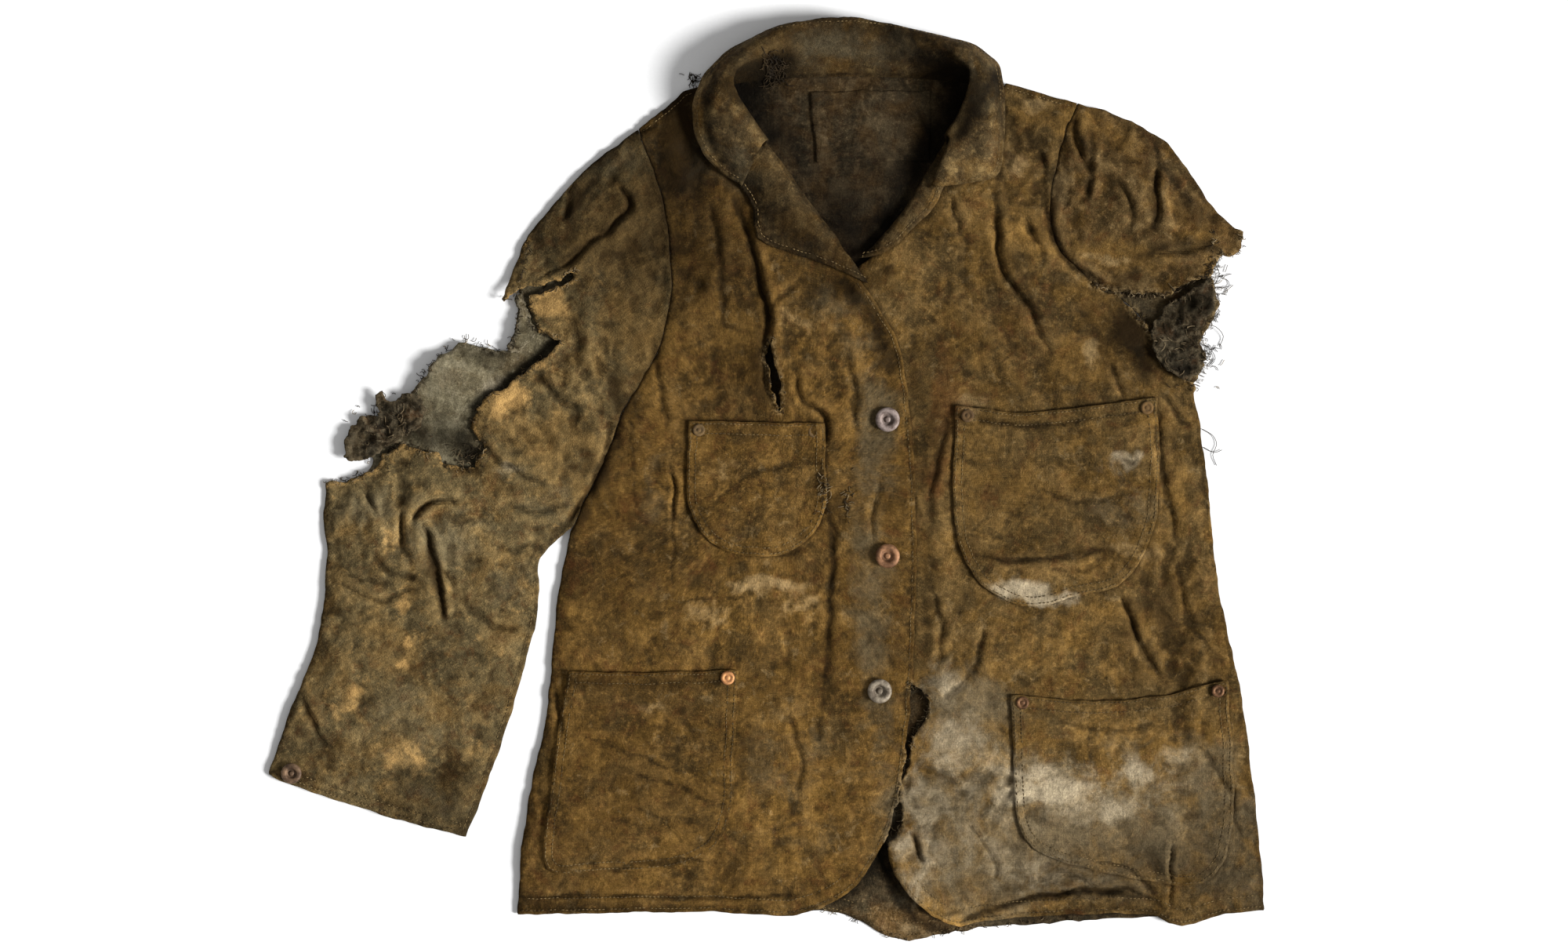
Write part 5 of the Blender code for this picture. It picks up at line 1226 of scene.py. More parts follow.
def weave_group():
    """Plain duck weave: the height of its yarns, and how far each one's tone strays."""
    tree, n, given, out = new_tree(
        "ShaderNodeTree", "Duck weave",
        (("Place", "Vector", None), ("Pitch", "Float", 0.9)), (("Height", "Float"), ("Tone", "Float")),
    )
    place = given["Place"]
    bent = n.vector("ADD", place, n.vector("SCALE", n.wander(place), None, 0.9))
    split = n.add("ShaderNodeSeparateXYZ", {0: bent}).outputs
    turn = n.math("DIVIDE", 2 * math.pi, given["Pitch"])
    across, down = (n.math("SINE", n.math("MULTIPLY", split[i], turn)) for i in (0, 1))
    n.put(n.math("MULTIPLY", across, down), out["Height"])
    slubs = n.math("ADD", n.stripes(place, (2.2, 0.045, 0.045)), n.stripes(place, (0.045, 1.9, 0.045)))
    n.put(n.math("MULTIPLY", slubs, 0.5), out["Tone"])
    return tree


def mud_group():
    """Dried mud, as noise round one half: from broad clouds to crumbs, and where clay and rust lie."""
    kinds = ("Clouds", "Patches", "Spots", "Crumbs", "Clay", "Rust")
    tree, n, given, out = new_tree(
        "ShaderNodeTree", "Dried mud", (("Place", "Vector", None),), [(kind, "Float") for kind in kinds]
    )
    place = given["Place"]
    elsewhere = n.vector("ADD", place, (431.0, 157.0, 71.0))
    looks = (
        (place, 0.019, 3.0, 0.55, 0.3), (place, 0.058, 6.0, 0.64, 0.25), (place, 0.24, 4.0, 0.68),
        (place, 0.95, 3.0, 0.72), (elsewhere, 0.036, 7.0, 0.66, 0.5), (elsewhere, 0.083, 6.0, 0.68, 0.4),
    )
    for kind, look in zip(kinds, looks):
        n.put(n.noise(*look), out[kind])
    return tree


def stain_group():
    """Breaks the edge of a painted stain with noise that lies round one half."""
    tree, n, given, out = new_tree(
        "ShaderNodeTree", "Stain edge",
        (
            ("Painted", "Float", 0.0), ("Broken by", "Float", 0.5), ("Roughness", "Float", 1.4),
            ("Softness", "Float", 0.6),
        ),
        (("Mask", "Float"),),
    )
    painted = given["Painted"]
    stray = n.math("MULTIPLY", n.math("SUBTRACT", given["Broken by"], 0.5), given["Roughness"])
    mask = n.spread(n.math("ADD", painted, stray), 0.1, n.math("ADD", given["Softness"], 0.1))
    n.put(n.math("MULTIPLY", mask, n.spread(painted, 0.0, 0.2)), out["Mask"])
    return tree


GROUPS = {}


def shader_groups():
    if not GROUPS:
        GROUPS.update(weave=weave_group(), mud=mud_group(), stain=stain_group())
    return GROUPS


def new_material(name):
    """A material, the helper of its tree, its shader's inputs, and its object's own coordinates."""
    material = bpy.data.materials.new(name)
    material.use_nodes = True
    n = Nodes(material.node_tree)
    shader = material.node_tree.nodes["Principled BSDF"].inputs
    return material, n, shader, n.add("ShaderNodeTexCoord").outputs["Object"]


def cloth_material(name, tones, turn=0.0, outer=None):
    """Worn duck: tones are its colours, and turn is its grain's angle in degrees.

    outer has the colours of the side below, where that is the garment's outer side.
    """
    material, n, shader, coordinates = new_material(name)
    groups = shader_groups()
    tones = {**TONES, **tones}
    turned = {"Vector": coordinates, "Rotation": (0.0, 0.0, math.radians(turn)), "Scale": (1 / MM,) * 3}
    where = n.add("ShaderNodeMapping", turned, vector_type="POINT").outputs[0]
    weave = n.group(groups["weave"], place=where, pitch=settings().weave_pitch / MM)
    clouds, patches, spots, crumbs, clay, flecks = n.group(groups["mud"], place=where)
    painted = n.add("ShaderNodeAttribute", attribute_name="mud").outputs
    ochre, tan, grey = n.add("ShaderNodeSeparateColor", {0: painted["Color"]}).outputs
    wear_and_hollow_shade = n.attribute("wear_and_hollow_shade")

    mixed = n.math("MULTIPLY_ADD", clouds, 0.40, n.math("MULTIPLY", patches, 0.36))
    mixed = n.math("MULTIPLY_ADD", spots, 0.24, mixed)
    mixed = n.math("MULTIPLY_ADD", wear_and_hollow_shade, tones["wear_and_hollow_shade"], mixed)
    layers = (
        (clay, 0.41, 0.64, tones["clay_share"], "clay"), (patches, 0.48, 0.68, 0.55, "light"),
        (n.math("SUBTRACT", 1.0, clay), 0.46, 0.68, tones["drift"], "ochre"),
        (flecks, 0.52, 0.68, 0.5, "rust"), (spots, 0.56, 0.72, 0.5, "light"),
        (n.math("SUBTRACT", 1.0, flecks), 0.58, 0.68, 0.35, "tan"), (crumbs, 0.56, 0.72, 0.4, "light"),
        (n.math("SUBTRACT", 1.0, crumbs), 0.58, 0.74, 0.35, "dark"),
        (n.math("MULTIPLY_ADD", patches, 1.6, wear_and_hollow_shade), 1.3, 2.1, 0.35, "light"),
    )
    sides = []
    for side in (tones, outer) if outer else (tones,):
        colour = n.mix(n.spread(mixed, 0.37, 0.54), side["dark"], side["middle"])
        for mud, low, high, share, tone in layers:
            colour = n.mix(n.math("MULTIPLY", n.spread(mud, low, high), share), colour, side[tone])
        sides.append(colour)
    colour = n.mix(n.attribute("outer_side"), *sides) if outer else colour

    def stained(colour, tone, where_painted, broken_by, roughness, softness, share):
        look = {"broken_by": broken_by, "roughness": roughness, "softness": softness}
        mask = n.group(groups["stain"], painted=where_painted, **look)[0]
        return n.mix(n.math("MULTIPLY", mask, share), colour, tones[tone])

    colour = stained(colour, "ochre", ochre, patches, 1.8, 0.8, 0.55)
    colour = stained(colour, "grey", grey, clay, 1.8, 0.9, 0.8)
    colour = stained(colour, "tan", tan, patches, 2.2, 0.8, 0.75)
    colour = stained(colour, "pale", n.attribute("pale"), clay, 1.6, 0.9, 0.85)
    colour = stained(colour, "rust", n.attribute("rust"), flecks, 1.6, 0.8, 0.6)
    # Mottle, weave and the shade attribute, which holds painted shade and light, scale the colour.
    lit = n.contrast(spots, 1.5)
    for factor in (
        n.contrast(crumbs, 1.3), n.contrast(patches, 0.9), n.math("MULTIPLY_ADD", weave["Tone"], 0.8, 0.6),
        n.math("MULTIPLY_ADD", weave["Height"], 0.07, 1.0), n.attribute("shade"),
    ):
        lit = n.math("MULTIPLY", lit, factor)
    colour = n.vector("SCALE", colour, None, n.math("MAXIMUM", lit, 0.15))
    # Hollows and the dark channel go to the soil colour: dirt with painted shade.
    troughs = n.spread(n.math("SUBTRACT", 0.0, wear_and_hollow_shade), 0.25, 1.1)
    colour = n.mix(n.math("MULTIPLY", troughs, 0.45), colour, tones["soil_and_shade"])
    colour = stained(colour, "soil_and_shade", painted["Alpha"], patches, 1.3, 0.9, 0.85)
    fuzz = n.spread(n.math("ADD", spots, n.math("MULTIPLY", crumbs, 0.5)), 0.68, 0.86)
    frayed = n.math("MULTIPLY", n.attribute("torn"), fuzz)
    n.put(n.mix(n.math("MULTIPLY", frayed, 0.55), colour, tones["tan"]), shader["Base Color"])
    n.put(n.spread(patches, 0.3, 0.7, 0.97, 0.86), shader["Roughness"])
    shader["Specular IOR Level"].default_value = 0.06
    height = n.math("MULTIPLY_ADD", crumbs, 0.75, n.math("MULTIPLY", weave["Height"], 0.08))
    height = n.math("MULTIPLY_ADD", patches, 1.2, n.math("MULTIPLY_ADD", spots, 1.5, height))
    n.put(n.bump(height, 1.0, tones["bump"] * MM), shader["Normal"])
    return material


def metal_material(name, dark, light, rough, metallic):
    """Corroded metal with plain rings of grime, which sits in the hollows of the button's face."""
    material, n, shader, coordinates = new_material(name)
    where = n.vector("SCALE", coordinates, None, 2.2 / MM)
    mud = n.group(shader_groups()["mud"], place=where)
    colour = n.mix(n.spread(mud["Patches"], 0.35, 0.65), dark, light)
    colour = n.mix(n.math("MULTIPLY", n.spread(mud["Spots"], 0.5, 0.7), 0.5), colour, (0.035, 0.02, 0.01))
    colour = n.mix(n.math("MULTIPLY", n.attribute("hollow"), 0.6), colour, (0.04, 0.027, 0.014))
    n.put(colour, shader["Base Color"])
    n.put(n.math("MULTIPLY_ADD", mud["Patches"], 0.25, rough), shader["Roughness"])
    shader["Metallic"].default_value = metallic
    height = n.math("MULTIPLY_ADD", mud["Crumbs"], 0.6, mud["Spots"])
    n.put(n.bump(height, 0.7, 0.12 * MM), shader["Normal"])
    return material


def thread_material(name, dark, light):
    """Soiled thread, a little different from spot to spot."""
    material, n, shader, coordinates = new_material(name)
    mud = n.group(shader_groups()["mud"], place=n.vector("SCALE", coordinates, None, 1 / MM))
    colour = n.mix(n.spread(mud["Patches"], 0.35, 0.65), dark, light)
    darkening = n.math("MULTIPLY", n.spread(mud["Spots"], 0.45, 0.7), 0.5)
    n.put(n.mix(darkening, colour, dark), shader["Base Color"])
    shader["Roughness"].default_value = 0.9
    shader["Specular IOR Level"].default_value = 0.2
    return material


def settings():
    return bpy.context.scene.jacket_sizes


def cloth(name, tones=None, turn=0.0, outer=None):
    """The duck of one piece, in the user's main colours unless the piece has tones of its own."""
    own = bpy.context.scene.jacket_colours
    base = {
        "dark": tuple(own.dark_duck), "middle": tuple(own.duck), "light": tuple(own.worn_duck),
        "ochre": tuple(own.mud), "grey": tuple(own.grey_mud), "soil_and_shade": tuple(own.soil_and_shade),
    }
    below = None if outer is None else {**TONES, **base, **outer}
    return cloth_material(name, {**base, **(tones or {})}, turn, below)


def make_back():
    back = Sheet("back", settings().hidden_spacing / MM, BACK_WALL, seed=3, widened=((BACK_NECK, 2.5),))
    back.smooth(6)
    back.crease(0.12, 0.0)
    back.stitch(0.3, 0.1)
    neck = smoothstep(back.y - SHIFT[1], 160, 200)
    back.z += 0.45 * neck * crumple(1.7 * back.x, 1.7 * back.y)
    back.z = np.minimum(back.z, back.base + 0.6 + 1.2 * neck)
    back.lay_on()
    dress(back, cloth("back", INSIDE, outer={}))
    facing = Sheet("neck_facing", 1.6, FACING_WALL, seed=8)
    facing.smooth(2, 2.0)
    facing.z -= 0.6 * (1 - smoothstep(facing.away, 0, 6))
    facing.lay_on(("back",), 0.1)
    dress(facing, cloth("neck_facing", INSIDE))


def make_sleeves():
    rough = settings().crumple
    for name, seed, tones, outer in (
        ("sleeve_right_under", 21, GREY_LAYER, FOREARM), ("sleeve_left_under", 23, SLEEVE_INSIDE, CAP_LEFT),
    ):
        under = Sheet(name, settings().hidden_spacing / MM * 0.62, WALL, seed=seed)
        under.smooth(6)
        under.crease(0.7 * rough, 0.2)
        under.lay_on(("back",))
        dress(under, cloth(name, tones, outer=outer))
    for name, seed, rounds, on, tones, turn in (
        ("sleeve_right_upper", 31, 16, "sleeve_right_under", FOREARM, -24),
        ("sleeve_left_upper", 37, 14, "sleeve_left_under", CAP_LEFT, 20),
    ):
        upper = Sheet(name, settings().spacing / MM, WALL, seed=seed)
        upper.smooth(rounds)
        upper.crease(1.15 * rough, 1.7)
        upper.stitch()
        upper.lay_on(("back", on))
        dress(upper, cloth(name, tones, turn))


def make_fronts():
    for name, seed, torn, reach, under, tones, on in (
        (
            "front_left", 41, "front", -1.8,
            ("back", "neck_facing", "sleeve_left_under", "sleeve_left_upper"), None, ["back"],
        ),
        (
            "front_right", 43, "gash", 2.0,
            ("back", "neck_facing", "sleeve_right_under", "sleeve_right_upper", "front_left"),
            FRONT_RIGHT, ["back", "front_left"],
        ),
    ):
        front = Sheet(name, settings().spacing / MM, WALL, seed=seed, widened=((TORN_EDGES[torn], reach),))
        front.smooth(18)
        front.crease(settings().crumple)
        front.stitch()
        front.lay_on(under)
        dress(front, cloth(name, tones))


def make_pockets():
    for name, on, seed in (
        ("chest_pocket_right", "front_right", 51), ("chest_pocket_left", "front_left", 53),
        ("lower_pocket_right", "front_right", 55), ("lower_pocket_left", "front_left", 57),
    ):
        sunk = name == "lower_pocket_right"
        pocket = Sheet(name, settings().spacing / MM, SUNK_POCKET_WALL if sunk else POCKET_WALL, seed=seed)
        pocket.smooth(10, 4.0)
        if sunk:
            pocket.z -= 0.5 * (1 - smoothstep(pocket.away, 0, 6))
        pocket.crease(0.9 * settings().crumple, 1.0, 5.0, 0.9)
        pocket.stitch(0.45, 0.25)
        pocket.lay_on((on,))
        dress(pocket, cloth(name, FRONT_RIGHT if "right" in name else None))


def make_lapels():
    for name, on, seed, gorge, reach in (
        ("lapel_right", "front_right", 61, ((-22, 225), (-3, 260)), 1.1),
        ("lapel_left", "front_left", 63, ((136, 223), (139, 264)), 0.5),
    ):
        lapel = Sheet(name, 2.0, WALL, seed=seed, widened=((gorge, reach),))
        lapel.smooth(10, 4.0)
        lapel.crease(0.7 * settings().crumple, 0.0, 5.0, 0.5)
        lapel.stitch()
        lapel.lay_on((on,))
        dress(lapel, cloth(name, COLLAR_TONES, 35))


def make_scraps():
    for name, on, seed, tones in (
        ("torn_strip", ("front_left",), 71, GREY_LAYER),
        ("scrap_elbow", ("sleeve_right_upper", "sleeve_right_under"), 73, SCRAP_TONES),
        ("scrap_armhole", ("sleeve_left_under", "sleeve_left_upper", "front_left"), 75, SCRAP_TONES),
    ):
        scrap = Sheet(name, 1.5, WALL, 1.6, True, seed)
        scrap.smooth(4, 3.0)
        x, y = (scrap.xy - SHIFT).T
        share = 0.4 + 0.6 * smoothstep(scrap.away, 0, 4)
        wild = 1.7 * (0.5 - 2 * np.abs(noise(x / 11 + seed, y / 11, seed)))
        wild += 0.8 * noise(x / 4.4, y / 4.4, seed + 1)
        scrap.z += share * wild * (0.35 if name == "torn_strip" else 1)
        scrap.lay_on(on)
        dress(scrap, cloth(name, tones))


def collar_sections():
    """Rows of points over the collar, as the solid has them, from its seam over the roll to its edge."""
    sections = np.array(COLLAR_SECTIONS)
    crest = sections[:, 2:4]
    grid = []
    for row, (ax, ay) in zip(sections, np.gradient(crest, axis=0)):
        foot, top, edge = (np.array([row[i], row[i + 1], row[6 + i // 2]]) for i in (0, 2, 4))
        out = np.array([ay, -ax, 0.0])
        out /= np.linalg.norm(out)
        if out @ (edge - top) < 0:
            out = -out
        middle = top - (0, 0, COLLAR_ROLL)
        turns = [math.radians(angle) for angle in ROLL_ANGLES]
        roll = [middle + COLLAR_ROLL * (out * math.cos(t) + np.array([0, 0, math.sin(t)])) for t in turns]
        stand = [foot + (roll[0] - foot) * share for share in STAND_SHARES]
        fall = []
        for share, kept in FALL_SHARES:
            point = roll[-1] + (edge - roll[-1]) * share
            point[2] = edge[2] + (roll[-1][2] - edge[2]) * kept
            fall.append(point)
        grid.append(stand + roll + fall)
    return np.array(grid), run_along(crest)


def collar_rows():
    """Even points over the collar's upper side in the frame, and each row's place along the collar."""
    grid, along = collar_sections()
    steps = [grid[0] - grid[1], grid[-1] - grid[-2]]
    first, last = (step / np.linalg.norm(step[len(STAND_SHARES) + 2]) * COLLAR_END for step in steps)
    grid = np.concatenate([[grid[0] + first], grid, [grid[-1] + last]])
    along = np.concatenate([[0], along + COLLAR_END, [along[-1] + 2 * COLLAR_END]])
    at = np.arange(0, along[-1] + 1.7, COLLAR_STEP)
    at *= along[-1] / at[-1]
    fine = points_at(grid, along, at)
    for _ in range(2):
        fine[1:-1] = (fine[:-2] + 2 * fine[1:-1] + fine[2:]) / 4
    share = np.linspace(0, 1, COLLAR_ACROSS)
    points = np.array([points_at(row, run_along(row), share * run_along(row)[-1]) for row in fine])
    for _ in range(2):
        points[:, 1:-1] = (points[:, :-2] + 2 * points[:, 1:-1] + points[:, 2:]) / 4
    points[:, :, :2] += SHIFT
    return points, at


def set_down(flat, across):
    """Lets the collar's foot down to the neckline, and lifts its fall clear of what is under it."""
    x, y = flat[:, 0], flat[:, 1]
    under_foot = heights_near(laid["back"], x, y)
    for name in ("neck_facing", "front_right", "front_left"):
        under_foot = np.maximum(under_foot, heights_on(laid[name], x, y, NOWHERE))
    foot = 1 - smoothstep(across, 0, 0.12)
    flat[:, 2] -= foot * np.clip(flat[:, 2] - under_foot - 2 * GAP, 0, 6)
    for name in ("front_right", "front_left", "lapel_right", "lapel_left", "back"):
        floor = heights_on(laid[name], x, y, NOWHERE) + WALL + GAP
        low = (across > 0.3) & (floor > flat[:, 2])
        flat[low, 2] = floor[low]


def make_collar():
    """The collar as one folded band: its stand, the roll and the fall."""
    points, at = collar_rows()
    index = np.arange(len(at) * COLLAR_ACROSS).reshape(len(at), COLLAR_ACROSS)
    flat = points.reshape(-1, 3)
    a, b, c, d = (part.ravel() for part in (index[:-1, :-1], index[1:, :-1], index[1:, 1:], index[:-1, 1:]))
    faces = np.vstack([np.column_stack([a, b, c]), np.column_stack([a, c, d])])
    normal = vertex_normals(flat, faces)
    on_fall = index[len(at) // 2, COLLAR_ACROSS - 6]
    if normal[on_fall, 2] < 0:
        faces, normal = faces[:, ::-1], -normal

    x, y = (flat[:, :2] - SHIFT).T
    across = np.tile(np.linspace(0, 1, COLLAR_ACROSS), len(at))
    from_end = smoothstep(np.repeat(np.minimum(at, at[-1] - at), COLLAR_ACROSS), 0, 10)
    free = smoothstep(across, 0.05, 0.25) * (1 - 0.75 * smoothstep(across, 0.9, 1.0)) * from_end
    move = settings().crumple * 0.75 * free * (crumple(x * 1.25 + 300, y * 1.25) - 0.1)
    move += 0.16 * noise(x / 3.2, y / 3.2, 91)
    flat = flat + normal * move[:, None]
    edge_wave = noise(np.repeat(at, COLLAR_ACROSS) / 7, np.zeros(len(flat)), 92)
    flat[:, 2] += 0.5 * edge_wave * smoothstep(across, 0.85, 1)
    set_down(flat, across)

    rim = np.concatenate([index[0, :], index[1:, -1], index[-1, -2::-1], index[-2:0:-1, 0]])
    both, everything = shell_of(flat, flat - vertex_normals(flat, faces) * WALL, faces, [rim])
    obj = new_object("collar_cloth", both, everything)
    turn_outwards(obj)
    # Raised cloth reads as worn and hollows as shaded, with a light band along the roll line.
    worn_and_shaded = np.clip(move / 0.9 + 0.5 * np.exp(-(((across - 0.45) / 0.05) ** 2)), -1, 1)
    torn = 0.6 * smoothstep(across, 0.93, 1.0)
    # Painted shade on the stand, inside the roll, more towards both ends of the collar.
    darkening = (1 - smoothstep(across, 0.22, 0.40)) * (0.25 + 0.6 * smoothstep(np.abs(x - 70), 35, 60))
    paint(obj, "collar", both, worn_and_shaded, torn, darkening)
    keep_in_place_of(obj, "collar", cloth("collar", COLLAR_TONES, 15))
    laid["collar"] = tree_of(flat, faces)
    row = curved(points[4:-4, -1, :2], 2.0)
    inward = points[:, COLLAR_ACROSS // 2, :2].mean(axis=0) - row
    stitch_lines.append(("collar", row + inward / np.linalg.norm(inward, axis=1)[:, None] * 4.0))


def vertex_normals(points, faces):
    a, b, c = (points[faces[:, i]] for i in range(3))
    cross = np.cross(b - a, c - a)
    total = np.zeros_like(points)
    for k in range(3):
        for i in range(3):
            total[:, i] += np.bincount(faces[:, k], weights=cross[:, i], minlength=len(points))
    return total / np.maximum(np.linalg.norm(total, axis=1), 1e-12)[:, None]


def turn_outwards(obj):
    mesh = bmesh.new()
    mesh.from_mesh(obj.data)
    bmesh.ops.recalc_face_normals(mesh, faces=mesh.faces)
    mesh.to_mesh(obj.data)
    mesh.free()


def lathe(name, profile, node, steps, scale):
    """A turned piece on the middle of its node, with how deep each ring lies stored for its grime."""
    low, high = (np.array(corner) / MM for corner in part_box(node))
    middle = (low + high) / 2
    radius, height = np.array(profile).T
    tall = (high[2] - low[2]) / height.max()
    depth = 1 - np.minimum(1.0, height / height.max() * 1.02)
    rings = len(profile) - 2
    points = []
    faces = []
    for k in range(steps):
        angle = 2 * math.pi * k / steps
        first, after = k * rings, (k + 1) % steps * rings
        for r, h in zip(radius[1:-1] * scale, height[1:-1]):
            x, y = middle[0] + r * math.cos(angle), middle[1] + r * math.sin(angle)
            points.append((x, y, low[2] + h * tall))
        faces += [(first + i, first + i + 1, after + i + 1, after + i) for i in range(rings - 1)]
    crown = len(points)
    points += [(middle[0], middle[1], low[2] + h * tall) for h in (height[0], height[-1])]
    for k in range(steps):
        first, after = k * rings, (k + 1) % steps * rings
        faces += [(crown, first, after), (crown + 1, after + rings - 1, first + rings - 1)]
    obj = new_object(name, points, faces)
    add_attribute(obj, "hollow", np.append(np.tile(depth[1:-1], steps), [0.5, 1.0]) ** 1.5)
    turn_outwards(obj)
    return obj


def make_buttons():
    for name, (dark, light) in BUTTON_LOOKS.items():
        obj = lathe(name + "_face", BUTTON_PROFILE, name, 48, 0.84 if name == "button_cuff" else 1.0)
        keep_in_place_of(obj, name, metal_material(name, dark, light, 0.52, 0.45))


def make_rivets():
    for name in sorted(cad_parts):
        if name.startswith("rivet"):
            low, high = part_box(name)
            obj = lathe(name + "_head", RIVET_PROFILE, name, 28, (high.x - low.x) / MM / RIVET_WIDTH)
            look = (0.85, 0.0) if "chest" in name else (0.5, 0.7)
            copper = metal_material(name, *RIVET_LOOKS.get(name, RIVET_PLAIN), *look)
            keep_in_place_of(obj, name, copper)


def applied(obj, tree, values):
    """Runs the tree on the object and keeps what comes out as its plain mesh."""
    modifier = obj.modifiers.new(tree.name, "NODES")
    modifier.node_group = tree
    for item in tree.interface.items_tree:
        if item.in_out == "INPUT" and item.name in values:
            modifier[item.identifier] = values[item.name]
    bpy.context.view_layer.update()
    graph = bpy.context.evaluated_depsgraph_get()
    mesh = bpy.data.meshes.new_from_object(obj.evaluated_get(graph), depsgraph=graph)
    obj.modifiers.remove(modifier)
    obj.data = mesh
    mesh.name = obj.name


def stitch_tree():
    """Stitches along every line of a mesh: one small rounded bar each, with a gap between them."""
    tree, n, given, out = new_tree(
        "GeometryNodeTree", "Top-stitching",
        (
            ("Geometry", "Geometry", None), ("Stitch length", "Float", 0.0031),
            ("Thread width", "Float", 0.0008), ("Missing share", "Float", 0.12), ("Seed", "Int", 4),
            ("Material", "Material", None),
        ),
        (("Geometry", "Geometry"),),
    )
    long, wide = given["Stitch length"], given["Thread width"]
    curve = n.add("GeometryNodeMeshToCurve", {"Mesh": given["Geometry"]}).outputs[0]
    spaced = n.add("GeometryNodeCurveToPoints", {"Curve": curve, "Length": long}, mode="LENGTH").outputs
    chance = {"Probability": given["Missing share"], "Seed": given["Seed"]}
    lost = n.add("FunctionNodeRandomValue", chance, data_type="BOOLEAN").outputs[3]
    taken_out = {"Geometry": spaced["Points"], "Selection": lost}
    left = n.add("GeometryNodeDeleteGeometry", taken_out, domain="POINT").outputs[0]
    facing = n.add("FunctionNodeAlignRotationToVector", {"Vector": spaced["Tangent"]}, axis="X").outputs[0]
    bar = n.add("GeometryNodeMeshIcoSphere", {"Radius": 0.5, "Subdivisions": 1}).outputs["Mesh"]
    sides = {0: n.math("MULTIPLY", long, 0.86), 1: wide, 2: n.math("MULTIPLY", wide, 0.8)}
    size = n.add("ShaderNodeCombineXYZ", sides).outputs[0]
    placing = {"Points": left, "Instance": bar, "Rotation": facing, "Scale": size}
    n.finish(n.add("GeometryNodeInstanceOnPoints", placing).outputs[0], given["Material"], out)
    return tree


def thread_tree():
    """A thin round thread along every line of a mesh."""
    tree, n, given, out = new_tree(
        "GeometryNodeTree", "Loose threads",
        (
            ("Geometry", "Geometry", None), ("Thread width", "Float", 0.0006), ("Sides", "Int", 3),
            ("Material", "Material", None),
        ),
        (("Geometry", "Geometry"),),
    )
    curve = n.add("GeometryNodeMeshToCurve", {"Mesh": given["Geometry"]}).outputs[0]
    round_it = {"Resolution": given["Sides"], "Radius": n.math("MULTIPLY", given["Thread width"], 0.5)}
    ring = n.add("GeometryNodeCurvePrimitiveCircle", round_it).outputs[0]
    tube = n.add("GeometryNodeCurveToMesh", {"Curve": curve, "Profile Curve": ring, "Fill Caps": True})
    n.finish(tube.outputs[0], given["Material"], out)
    return tree


def make_repeated(name, lines, tree, thread, **sizes):
    """Runs a geometry tree along lines given in mm, one run of bare edges for each."""
    edges = []
    first = 0
    for line in lines:
        edges += [(first + i, first + i + 1) for i in range(len(line) - 1)]
        first += len(line)
    obj = new_object(name, np.vstack(lines), [], edges)
    values = {label.replace("_", " ").capitalize(): value for label, value in sizes.items()}
    applied(obj, tree, {**values, "Material": thread})
    material_slot(obj, thread)
    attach(obj, BODY)


def make_stitching():
    tree = stitch_tree()
    thread = thread_material("stitching", (0.045, 0.028, 0.010), (0.20, 0.135, 0.055))
    by_piece = {}
    for piece, line in stitch_lines:
        x, y = respaced_open(line, 3.0).T
        z = heights_near(laid[piece], x, y)
        covered = np.zeros(len(z), bool)
        for other in ABOVE.get(piece, ()):
            covered |= heights_on(laid[other], x, y, NOWHERE) > z
        breaks = np.flatnonzero(np.diff(covered)) + 1
        runs = np.split(np.column_stack([x, y, z + 0.18]), breaks)
        for run, hidden in zip(runs, np.split(covered, breaks)):
            if len(run) > 3 and not hidden[0]:
                by_piece.setdefault(piece, []).append(run)
    for piece, lines in by_piece.items():
        sizes = {"stitch_length": settings().stitch_length, "thread_width": settings().thread_width}
        make_repeated(piece + "_stitching", lines, tree, thread, **sizes)


def thread_roots(rng):
    """Where each short thread starts, its direction and length, how high it stands, and its pale share."""
    roots = []
    for edge, side, count, length, pale in FRINGES:
        line = curved(np.asarray(TORN_EDGES[edge], float) + SHIFT, 1.0)
        step = np.gradient(line, axis=0)
        normal = np.column_stack([-step[:, 1], step[:, 0]]) * side
        normal /= np.linalg.norm(normal, axis=1)[:, None]
        for i in rng.integers(0, len(line), count):
            angle = math.atan2(normal[i, 1], normal[i, 0]) + rng.normal(0, 0.75)
            start = line[i] - normal[i] * rng.uniform(0.3, 2.4)
            roots.append((start, angle, length * rng.uniform(0.35, 1.3), rng.uniform(0.2, 0.9), pale))
    for x, y, reach_x, reach_y, count, length, high, pale in SHAGGY:
        for _ in range(count):
            start = np.array([x + rng.normal(0, 0.5) * reach_x, y + rng.normal(0, 0.5) * reach_y]) + SHIFT
            turn = rng.uniform(0, 2 * math.pi)
            roots.append((start, turn, length * rng.uniform(0.4, 1.5), high * rng.uniform(0.2, 1), pale))
    return roots


def make_threads():
    rng = np.random.default_rng(12)
    places = [(curved(np.asarray(line, float) + SHIFT, 3.0), 0.5, False) for line in LOOSE_THREADS]
    for start, angle, length, high, pale in thread_roots(rng):
        bend = rng.normal(0, 0.45)
        run = [start]
        for _ in range(4):
            angle += bend + rng.normal(0, 0.25)
            run.append(run[-1] + length / 4 * np.array([math.cos(angle), math.sin(angle)]))
        places.append((np.array(run), high, bool(rng.random() < pale)))
    flat = np.vstack([run for run, _, _ in places])
    ground = np.full(len(flat), 0.3)
    for surface in laid.values():
        ground = np.maximum(ground, heights_on(surface, *flat.T, 0.3))
    lines = {False: [], True: []}
    first = 0
    for run, high, pale in places:
        count = len(run)
        z = ground[first : first + count] + 0.35
        z = np.maximum(z, np.minimum(z.max(), z[0]) * np.linspace(1, 0, count) ** 1.5)
        arch = high * np.sin(np.linspace(0.15, math.pi * 0.85, count))
        lines[pale].append(np.column_stack([run, z + arch]))
        first += count
    tree = thread_tree()
    for name, pale, dark, light in (
        ("dark_threads", False, (0.008, 0.005, 0.002), (0.045, 0.028, 0.011)),
        ("pale_threads", True, (0.06, 0.04, 0.018), (0.27, 0.20, 0.11)),
    ):
        thread = thread_material(name, dark, light)
        make_repeated(name, lines[pale], tree, thread, thread_width=settings().thread_width * 0.75)


